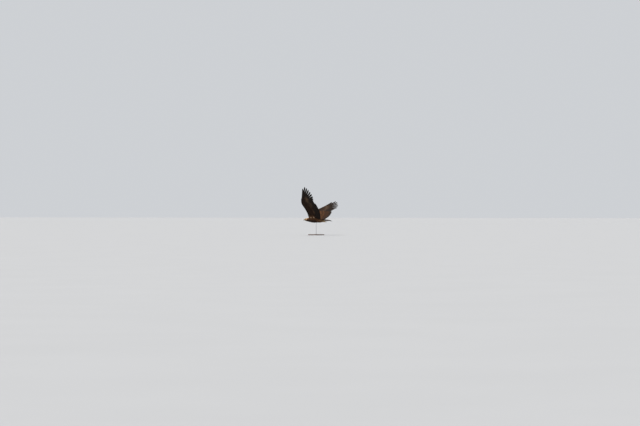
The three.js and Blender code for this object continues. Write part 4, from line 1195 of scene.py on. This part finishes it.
tail, lots = [], cells(2 * TAIL_PAIRS, 1)
for hand in (1, -1):
    for k in range(TAIL_PAIRS):
        on_top = hand > 0 and k == 0
        out, turn, length = 0.003 + TAIL_FEATHER_GAP * k, 0.8 + TAIL_FAN * k, TAIL_LENGTH - 0.0011 * k * k
        share = blunt_tip(0.35)
        rise = level(0.0024, 0.0020) if on_top else steady(0)

        def half(r):
            to_middle = out + math.sin(math.radians(turn)) * length * r - 0.0006
            inner = 0.030 * share(r)
            return 0.022 * share(r), inner if on_top else np.minimum(inner, np.maximum(to_middle, 0.0005))

        tail += plumed(tail_place(hand), (out, 0), turn, length, half, rise,
                       lambda s: TAIL_FEATHER_GAP + math.radians(TAIL_FAN) * TAIL_LENGTH * s,
                       tail_look(1 + wobble(0.1)), next(lots), 40, random.uniform(0.5, 1.5, 3),
                       thick=0.0008, quill=0.0017)
coat_piece("tail_feathers", tail, "flight", flight_finish, "tail")

# count, place back, length, half width, height at root and tip, how much the outer ones lie nearer the tail
TAIL_COVERTS = [
    (7, 0.010, 0.126, 0.015, (0.0108, 0.0080), -0.0004),
    (6, -0.012, 0.098, 0.013, (0.0128, 0.0106), -0.0005),
    (5, -0.036, 0.078, 0.012, (0.0150, 0.0130), -0.0006),
    (7, 0.006, 0.146, 0.016, (-0.0110, -0.0090), 0.0004),
    (5, -0.016, 0.112, 0.014, (-0.0132, -0.0112), 0.0005),
    (4, -0.038, 0.086, 0.012, (-0.0150, -0.0130), 0.0006),
]
ABOVE_TAIL = (BACK_BROWN * 0.7, BACK_BROWN * 1.5, SHADED_BELLY_BROWN * 1.4)
BELOW_TAIL = (LEG_BROWN * 0.6, LEG_BROWN * 1.1, LEG_BROWN * 0.6)
tail, lots = [], cells(sum(tier[0] for tier in TAIL_COVERTS), 2)
for count, back, length, half_width, rise, lower in TAIL_COVERTS:
    for j in range(count):
        x = j - (count - 1) / 2
        shade = covert_look(*(ABOVE_TAIL if rise[0] > 0 else BELOW_TAIL))
        tail += plumed(tail_place(1), (0.0052 * x, back), 3 * x, length * (1 - 0.02 * x * x),
                       halves(half_width, half_width, 0.5),
                       lambda s: mix(*rise, s) + lower * abs(x) * 1.6, steady(0.009), shade, next(lots),
                       18, random.uniform(0.45, 1.4, 1))
coat_piece("tail_coverts", tail, "plumage", covert_finish, "tail")

# The legs are clothed in short soft feathers down to the toes, buff brown and lying towards the foot. They
# grow in rings round each limb, and none grows where the thigh is sunk in the body.
LEG_LENGTH = 0.222
LEG_COAT_FROM, LEG_COAT_TO = 0.10, 0.955
# share of the leg, spacing along, spacing across, length, half width
LEG_FEATHER_ROWS = [(0, 0.0105, 0.0100, 0.034, 0.0078), (0.4, 0.0090, 0.0080, 0.028, 0.0062),
                    (0.62, 0.0062, 0.0052, 0.018, 0.0040), (1, 0.0055, 0.0046, 0.015, 0.0034)]
leg_feather = through(LEG_FEATHER_ROWS)

for side, (hand, _) in SIDES.items():
    rows = feather_roots(LEG_COAT_FROM, LEG_COAT_TO, leg_feather, lambda t: leg_radius(t)[0], (0.3, 0.4),
                         LEG_LENGTH)
    roots_t, roots_a = (np.concatenate(parts) for parts in rows)
    bases = leg_point(hand, roots_t, roots_a, 0.0)
    half, middle, tall = body_section(bases[:, 1])
    within = (bases[:, 0] / half) ** 2 + ((bases[:, 2] - middle) / tall) ** 2
    outside = (within > 0.80) & (roots_t < LEG_COAT_TO)
    roots_t, roots_a, bases = roots_t[outside], roots_a[outside], bases[outside]
    _, _, length, half_width = leg_feather(roots_t)
    length = np.minimum(length, (1.04 - roots_t) * LEG_LENGTH)

    def place(across, along, height):
        radius = leg_radius(np.clip(along / LEG_LENGTH, 0, 1))[0]
        return leg_point(hand, along / LEG_LENGTH, roots_a[:, None, None] + across / radius, height)

    turn = wobble(0.3, len(roots_t))
    rise = (-0.0024, -0.0002 + 0.0006 * random.random(len(roots_t)))
    points = small_feathers(place, 0, roots_t * LEG_LENGTH, turn, length, half_width, rise, 0.45, 0.0003,
                            0.0004, FACE_FEATHER_ROWS)
    colour = jittered(leg_marking(roots_t, bases), 0.2)
    home = np.stack([(0.5 if hand > 0 else 0.75) + 0.25 * (roots_a / (2 * np.pi) % 1), 0.8 + 0.2 * roots_t],
                    -1)
    coat_piece("leg_feathers_" + side, [feather_block(points, FACE_FEATHER_ROWS, home, colour)],
               "leg_feathers", contour_finish, "thigh_" + side, "shank_" + side)

# The bill is a deep hooked upper half over a short lower one, both of horn over bone: blue-grey at the base
# and black at the tip. The cere, a band of yellow skin with the nostrils, laps over the upper half's base.
# share of the length, top ahead and up, lower edge ahead and up, half width
UPPER_BILL_ROWS = [
    (-0.15, 0.327, 0.0292, 0.330, -0.0020, 0.0160),
    (0, 0.336, 0.0295, 0.338, -0.0030, 0.0154),
    (0.12, 0.344, 0.0294, 0.345, -0.0040, 0.0146),
    (0.25, 0.352, 0.0284, 0.352, -0.0050, 0.0130),
    (0.40, 0.362, 0.0256, 0.3595, -0.0060, 0.0110),
    (0.53, 0.370, 0.0208, 0.366, -0.0056, 0.0092),
    (0.65, 0.377, 0.0138, 0.3715, -0.0050, 0.0073),
    (0.76, 0.3824, 0.0052, 0.376, -0.0064, 0.0055),
    (0.86, 0.386, -0.0040, 0.3798, -0.0096, 0.0040),
    (0.94, 0.388, -0.0120, 0.384, -0.0140, 0.0025),
    (0.98, 0.3884, -0.0172, 0.3866, -0.0182, 0.0013),
    (1, 0.3883, -0.0198, 0.3878, -0.0201, 0.0003),
]
LOWER_BILL_ROWS = [
    (-0.2, 0.328, -0.0030, 0.330, -0.0130, 0.0108),
    (0, 0.338, -0.0030, 0.338, -0.0134, 0.0102),
    (0.4, 0.352, -0.0034, 0.352, -0.0134, 0.0084),
    (0.75, 0.3635, -0.0038, 0.3635, -0.0122, 0.0062),
    (0.93, 0.3695, -0.0045, 0.3695, -0.0098, 0.0036),
    (1, 0.3722, -0.0056, 0.3722, -0.0078, 0.0012),
]
NOSTRIL_PLACE, NOSTRIL_SIZE, NOSTRIL_SLANT = (-0.3452, 0.0148), (0.0030, 0.0013), math.radians(-62)
CERE_FROM, CERE_TO, CERE_CURVE, UPPER_HORN_FROM, LOWER_HORN_FROM = -0.12, 0.235, 0.05, 0.2, -0.2
HORN_BASE, HORN_TIP = np.array((0.150, 0.162, 0.180)), np.array((0.010, 0.010, 0.012))
CERE_YELLOW, NOSTRIL_SHADOW = np.array((0.66, 0.42, 0.075)), np.array((0.05, 0.030, 0.012))
upper_bill, lower_bill = through(UPPER_BILL_ROWS), through(LOWER_BILL_ROWS)


def bill_point(form, t, angle, proud, hollow=0.0):
    """A point of a bill's surface at a share of its length and an angle round it."""
    top_ahead, top_up, low_ahead, low_up, half = form(t)
    high = (np.maximum(np.sin(angle), -0.8) + 0.8) / 1.8
    wide = (half + proud) * np.cos(angle) * (1 - 0.2 * np.sin(angle))
    up = mix(low_up - proud * 0.4, top_up + proud, high)
    up = up + hollow * half * smooth((-0.8 - np.sin(angle)) / 0.2)
    return np.stack([wide, -mix(low_ahead, top_ahead, high), up], -1)


def nostril(points):
    """How far points of the cere lie in the slit of the nostril, from 0 outside to 1 in its middle."""
    y, z = points[..., 1] - NOSTRIL_PLACE[0], points[..., 2] - NOSTRIL_PLACE[1]
    long = y * math.cos(NOSTRIL_SLANT) + z * math.sin(NOSTRIL_SLANT)
    short = -y * math.sin(NOSTRIL_SLANT) + z * math.cos(NOSTRIL_SLANT)
    return smooth(1.35 - np.hypot(long / NOSTRIL_SIZE[0], short / NOSTRIL_SIZE[1]))


def cere_place(around, along):
    t = mix(CERE_FROM, CERE_TO + CERE_CURVE * np.cos(around) ** 2 * smooth(np.sin(around) + 1), along)
    lip = 0.0006 * smooth((1 - along) / 0.06) + 0.0002 * np.sin(along * 19 + 2 * np.sin(2 * around))
    points = bill_point(upper_bill, t, around, lip)
    points[:, 0] -= np.sign(points[:, 0]) * 0.0034 * nostril(points)
    return points


# The nostril's slit is painted dark: painted shade for the depth of the hole.
def cere_marking(around, along, points):
    return mix(CERE_YELLOW, NOSTRIL_SHADOW, nostril(points)[:, None])


def marked(name, grain_scale, bump_distance, roughness, contrast=(0.8, 1.12), stretch=None, scaly=False,
           **constants):
    """The finish of a smooth piece: its own marking under a fine grain, or under small round scales."""
    material = start_material(name)
    place = placed(material, stretch)
    if scaly:
        apart = node(material, "TexVoronoi", {"Vector": place, "Scale": grain_scale}).outputs[0]
        grain = maths(material, "SUBTRACT", 1.0, apart)
    else:
        grain = noise(material, place, grain_scale, 4)
    colour = shaded(material, marking_of(material)[0], spread(material, grain, 0.25, 0.75, *contrast))
    rough = spread(material, grain, 0, 1, roughness * 0.85, roughness * 1.15)
    return finish(material, colour, bumped(material, grain, 0.4, bump_distance), rough, **constants)


horn_finish = marked("bill_horn", 260, 0.00015, 0.32, stretch=(1, 0.25, 1), Coat_Weight=0.25,
                     Coat_Roughness=0.15)
cere_finish = marked("cere_skin", 900, 0.0002, 0.45, (0.85, 1.08))
cere = wrapped("cere_skin", 112, 56, cere_place, cere_marking)
settle(cere, "cere", cere_finish, "cere")


def bill_half(name, form, columns, rows, start, hollow, node_name):
    """One half of the bill, with its horn streaked from the base and black at the tip."""
    def horn_marking(around, along, points):
        t = mix(start, 1, along)[:, None]
        streak = 0.12 * np.sin(10 * around)[:, None] * np.sin(4 * around + 1)[:, None]
        return mix(HORN_BASE, HORN_TIP, smooth((t - 0.22) / 0.55)) * (1 + streak * (1 - t))

    half = wrapped(name, columns, rows,
                   lambda around, along: bill_point(form, mix(start, 1, along), around, 0.0, hollow),
                   horn_marking)
    settle(half, "horn", horn_finish, node_name, smooth_angle=50)


bill_half("bill_upper", upper_bill, 72, 90, UPPER_HORN_FROM, 0.22, "beak_upper")
bill_half("bill_lower", lower_bill, 56, 50, LOWER_HORN_FROM, 0.0, "beak_lower")

# The gape is a soft yellow lip of bare skin that runs from the cere back along the mouth, and thins out to a
# point under the eye.
GAPE_FROM, GAPE_TO, GAPE_SAG = (-0.350, -0.0048), (-0.3195, -0.0098), 0.0010
GAPE_THICK = 0.0012


def gape_point(hand):
    def place(around, along):
        y = mix(GAPE_FROM[0], GAPE_TO[0], along)
        up = mix(GAPE_FROM[1], GAPE_TO[1], along) + GAPE_SAG * np.sin(along * np.pi)
        half, middle, tall = body_section(np.maximum(y, -0.340))
        reach = np.sqrt(np.maximum(0.02, 1 - ((up - middle) / tall) ** 2))
        side = np.minimum(half * reach, mix(0.0106, 0.034, along)) - mix(0.0006, 0.0012, along)
        thick = GAPE_THICK * np.sqrt(np.clip(np.minimum(along / 0.1, (1 - along) / 0.3), 0.02, 1))
        return np.stack([hand * (side + thick * np.cos(around)), y, up + 1.1 * thick * np.sin(around)], -1)
    return place


for side, (hand, _) in SIDES.items():
    gape = wrapped("gape_" + side, 16, 40, gape_point(hand), CERE_YELLOW * 0.9)
    settle(gape, "cere", cere_finish, "cere")

# The eyes are balls of glass with a hazel iris and a black pupil under a clear dome. Each is held by lids of
# bare skin and shaded by the brow.
EYE_RADIUS = 0.0094
EYE_AXIS = (0.92, -0.36, 0.12)
PUPIL_ANGLE, IRIS_ANGLE, DOME_ANGLE = (math.radians(angle) for angle in (18, 38, 42))
DOME_HEIGHT = 0.0006
PUPIL, IRIS_INNER, IRIS_OUTER, EYE_RIM = (np.array(colour) for colour in (
    (0.002, 0.0015, 0.0015), (0.15, 0.060, 0.010), (0.27, 0.120, 0.022), (0.010, 0.006, 0.004)))


def eye_point(hand, off, round_axis, radius):
    """A point about an eye's centre: its angle off the eye's axis, the way round it, and its distance."""
    axis = Vector((hand * EYE_AXIS[0], *EYE_AXIS[1:])).normalized()
    up = (Vector((0, 0, 1)) - axis * axis.z).normalized()
    back = axis.cross(up) * hand
    axes = np.array((tuple(back), tuple(up), tuple(axis)))
    sideways, upwards = np.sin(off) * np.cos(round_axis), np.sin(off) * np.sin(round_axis)
    local = np.stack(np.broadcast_arrays(sideways, upwards, np.cos(off)), -1)
    return local @ axes * np.asarray(radius)[..., None] + np.array(EYE_PLACE) * (hand, 1, 1)


def eye_marking(around, along, points):
    off = (0.004 + 0.992 * along[:, None]) * np.pi
    iris = mix(IRIS_INNER, IRIS_OUTER, smooth((off - PUPIL_ANGLE) / (IRIS_ANGLE - PUPIL_ANGLE)))
    rays = 1 + 0.22 * np.sin(around * 31)[:, None] * np.sin(around * 13 + 1)[:, None]
    colour = mix(PUPIL, iris * rays, smooth((off - PUPIL_ANGLE) / 0.05 + 0.5))
    return mix(colour, EYE_RIM, smooth((off - IRIS_ANGLE) / 0.06 + 0.5))


def eye_place(hand):
    def place(around, along):
        off = (0.004 + 0.992 * along) * np.pi
        radius = EYE_RADIUS + DOME_HEIGHT * smooth((DOME_ANGLE - off) / 0.3)
        return eye_point(hand, off, around, radius)
    return place


# angle off the opening's edge, distance from the eye's centre
LID_PROFILE = [(0.00, 0.0097), (0.00, 0.0100), (0.025, 0.0102), (0.06, 0.0103), (0.13, 0.0102),
               (0.35, 0.0099), (0.75, 0.0097), (0.75, 0.0091), (0.40, 0.0093), (0.10, 0.0094)]
LID_COLOUR = (0.060, 0.042, 0.022)
LID_OPEN = {"up": 27, "down": 37, "along": 44}


def lid_place(hand):
    profile = np.array(LID_PROFILE + LID_PROFILE[:1])

    def place(around, along):
        rise = np.sin(around)
        tall = np.where(rise > 0, LID_OPEN["up"], LID_OPEN["down"])
        opening = np.radians(LID_OPEN["along"] + (tall - LID_OPEN["along"]) * rise ** 2)
        step = along * (len(profile) - 1)
        off = np.interp(step, np.arange(len(profile)), profile[:, 0])
        radius = np.interp(step, np.arange(len(profile)), profile[:, 1])
        return eye_point(hand, opening + off, around, radius)
    return place


eye_finish = marked("eye_glass", 2500, 0.00002, 0.08, (0.92, 1.06), Specular_IOR_Level=0.1,
                    Coat_Weight=0.45, Coat_Roughness=0.02)
lid_finish = marked("lid_skin", 1400, 0.0002, 0.5, (0.8, 1.1))
for side, (hand, _) in SIDES.items():
    eye = wrapped("eyeball_" + side, 96, 72, eye_place(hand), eye_marking)
    settle(eye, "eye", eye_finish, "eye_" + side)
    lids = wrapped("lids_" + side, 64, 30, lid_place(hand), LID_COLOUR)
    settle(lids, "cere", lid_finish, "head")

# The feet are closed and trail under the tail: a broad pad with three toes back and one inside them. The
# toes have plates above, round pads below, and long black claws.
PALM_PLACE, PALM_SIZE = (0.034, 0.236, -0.040), (0.013, 0.014, 0.0095)
# name, start from the palm, spread, length, slopes at both ends, length of the claw
TOES = [
    ("inner", (-0.005, 0.002, 0), -5, 0.044, (-22, 8), 0.034),
    ("middle", (0.002, 0.004, -0.001), 2, 0.060, (-20, 10), 0.028),
    ("outer", (0.008, 0.002, 0), 13, 0.046, (-22, 12), 0.025),
    ("hind", (-0.011, -0.004, 0.005), -18, 0.030, (22, -6), 0.039),
]
TOE_START = -0.05
CLAW_SWEEP, CLAW_START, CLAW_END = 66, -0.06, 0.995
CLAW_WIDE, CLAW_TALL, CLAW_POINT = 0.0034, 0.0045, 0.0002
# The toes' yellow is dulled with painted shade for their place beneath the tail.
SHADED_TOE_YELLOW, TOE_SHADE, CLAW_BLACK, CLAW_GREY = (np.array(colour) for colour in (
    (0.36, 0.22, 0.052), (0.12, 0.070, 0.022), (0.010, 0.010, 0.011), (0.055, 0.053, 0.052)))


def arc(start, spread, length, slope, end_slope):
    """A curve of constant bend, and its heading, from one slope to another."""
    slope, end_slope, spread = math.radians(slope), math.radians(end_slope), math.radians(spread)
    bend = end_slope - slope

    def read(t):
        at = slope + bend * t
        forth = length * (np.sin(at) - math.sin(slope)) / bend
        rise = length * (math.cos(slope) - np.cos(at)) / bend
        points = np.stack([start[0] + math.sin(spread) * forth, start[1] + math.cos(spread) * forth,
                           start[2] + rise], -1)
        heading = np.stack([math.sin(spread) * np.cos(at), math.cos(spread) * np.cos(at), np.sin(at)], -1)
        return points, heading
    return read


def toe_relief(t, angle, sole):
    """How far plates on a toe's back and pads on its sole stand out. sole is 1 where the sole looks up."""
    back = smooth(-sole * np.sin(angle) / 0.5 + 0.3)
    saw = (t * 15) % 1
    plates = 0.0008 * smooth(saw / 0.25) * (1 - 0.5 * saw) * back
    pads = 0.0014 * np.clip(np.cos(t * 6 * np.pi + 0.4), 0, 1) ** 0.6 * smooth(sole * np.sin(angle) / 0.6)
    return plates + pads


def foot_piece(side, hand):
    toes = []
    for name, offset, spread, length, slopes, claw_length in TOES:
        start = [a + b for a, b in zip(PALM_PLACE, offset)]
        curve = arc(start, spread, length, *slopes)
        sole = 1 if name != "hind" else -1

        def toe_place(around, along):
            t = mix(TOE_START, 1, along)
            centre, heading = curve(t)
            radius = mix(0.0070, 0.0048, np.clip(t, 0, 1)) * np.sqrt(np.clip((1.0 - along) / 0.04, 0.3, 1))
            radius = radius + toe_relief(t, around, sole)
            return around_path(centre, heading, around, radius, radius) * (hand, 1, 1)

        def toe_marking(around, along, points):
            relief = toe_relief(mix(TOE_START, 1, along), around, sole)[:, None]
            return mix(TOE_SHADE, SHADED_TOE_YELLOW, smooth(relief / 0.0005 + 0.45))

        toes.append(wrapped("toe", 36, 110, toe_place, toe_marking))
        end, _ = curve(1.0)
        closing = math.copysign(CLAW_SWEEP, slopes[1] - slopes[0])
        hook = arc(end, spread, claw_length, slopes[1], slopes[1] + closing)

        def claw_place(around, along):
            centre, heading = hook(mix(CLAW_START, CLAW_END, along))
            taper = (1 - np.clip(along, 0, CLAW_END)) ** 0.8
            under = 1 - 0.28 * smooth(np.sin(around) * np.sign(closing) / 0.8) * taper
            wide, tall = CLAW_WIDE * taper + CLAW_POINT, CLAW_TALL * taper + CLAW_POINT
            return around_path(centre, heading, around, wide, tall * under) * (hand, 1, 1)

        def claw_marking(around, along, points):
            return mix(CLAW_GREY, CLAW_BLACK, smooth(along / 0.3)[:, None])

        claw = wrapped("talon_%s_%s" % (side, name), 28, 44, claw_place, claw_marking)
        settle(claw, "claw", claw_finish, "claw_%s_%s" % (side, name))

    def palm_place(around, along):
        off = (0.01 + 0.98 * along) * np.pi
        form = np.stack([np.cos(around) * np.sin(off), -np.cos(off), np.sin(around) * np.sin(off)], -1)
        return (PALM_PLACE + form * PALM_SIZE) * (hand, 1, 1)

    palm = wrapped("foot_skin_" + side, 48, 32, palm_place, SHADED_TOE_YELLOW * 0.85)
    unite(palm, toes)
    settle(palm, "toes", toe_finish, "foot_" + side)


claw_finish = marked("claw_horn", 300, 0.0001, 0.28, (0.8, 1.3), Coat_Weight=0.3, Coat_Roughness=0.12)
toe_finish = marked("toe_scales", 620, 0.0004, 0.42, (0.62, 1.08), scaly=True)
for side, (hand, _) in SIDES.items():
    foot_piece(side, hand)

# The stand is a turned base of stained walnut with a brushed steel collar, and a steel rod that goes up into
# the belly.
# radius, height
BASE_PROFILE = [(0.004, 0.0), (0.2135, 0.0), (0.2150, 0.0015), (0.2150, 0.0165), (0.2141, 0.0200),
                (0.2118, 0.0226), (0.2085, 0.0240), (0.1960, 0.0240), (0.1950, 0.0233), (0.1935, 0.0233),
                (0.1925, 0.0240), (0.030, 0.0240), (0.004, 0.0240)]
COLLAR_PROFILE = [(0.0073, 0.0243), (0.0250, 0.0243), (0.0260, 0.0252), (0.0260, 0.0284), (0.0253, 0.0302),
                  (0.0240, 0.0310), (0.0150, 0.0310), (0.0125, 0.0310), (0.0085, 0.0310), (0.0073, 0.0302),
                  (0.0073, 0.0243)]
ROD_RADIUS, ROD_BEVEL, ROD_FOOT, ROD_CORE = 0.007, 0.0015, 0.0243, 0.002


def turned(name, profile, columns, slot, material, node_name, sharp=30):
    """A turned piece: a profile of radius and height carried round the upright axis."""
    profile = np.array(profile)

    def place(around, along):
        step = np.round(along * (len(profile) - 1)).astype(int)
        radius, up = profile[step, 0], profile[step, 1]
        return np.stack([radius * np.cos(around), radius * np.sin(around), up], -1)

    piece = wrapped(name, columns, len(profile) - 1, place, (1.0, 1.0, 1.0))
    piece.data.transform(BIRD.inverted())
    settle(piece, slot, material, node_name, smooth_angle=sharp)


wood = start_material("walnut")
wood_drift = node(wood, "TexNoise", {"Vector": placed(wood), "Scale": 3.0}).outputs[1]
wood_shift = node(wood, "Mix", {0: 0.06, 4: placed(wood), 5: wood_drift}, data_type="VECTOR").outputs[1]
wood_long = node(wood, "Mapping", {0: wood_shift, 3: (1.2, 14, 14)}).outputs[0]
wood_rings = node(wood, "TexWave", {"Vector": wood_long, "Scale": 1.9, "Distortion": 9, "Detail": 4,
                                    "Detail Scale": 1.2}, bands_direction="Y").outputs[1]
wood_pores = noise(wood, placed(wood, (12, 260, 260)), 2.0, 4)
wood_tone = blend(wood, wood_rings, (0.094, 0.045, 0.022), (0.122, 0.060, 0.030))
wood_colour = shaded(wood, wood_tone, spread(wood, wood_pores, 0.35, 0.6, 0.7, 1.1))
finish(wood, wood_colour, bumped(wood, wood_pores, 0.25, 0.0003), 0.38, Coat_Weight=0.35,
       Coat_Roughness=0.18)
steel = start_material("brushed_steel")
steel_lines = noise(steel, placed(steel, (30, 30, 900)), 3.0, 3)
finish(steel, blend(steel, steel_lines, (0.50, 0.50, 0.51), (0.68, 0.68, 0.69)), None,
       spread(steel, steel_lines, 0, 1, 0.22, 0.40), Metallic=1.0)
rod_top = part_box("stand_rod")[1][2]
rod_profile = [(ROD_CORE, ROD_FOOT), (ROD_RADIUS - ROD_BEVEL, ROD_FOOT), (ROD_RADIUS, ROD_FOOT + ROD_BEVEL),
               (ROD_RADIUS, rod_top - ROD_BEVEL), (ROD_RADIUS - ROD_BEVEL, rod_top), (ROD_CORE, rod_top)]
turned("base_wood", BASE_PROFILE, 160, "stand_wood", wood, "stand_base")
turned("collar_steel", COLLAR_PROFILE, 72, "stand_steel", steel, "stand_collar")
turned("rod_steel", rod_profile, 40, "stand_steel", steel, "stand_rod")
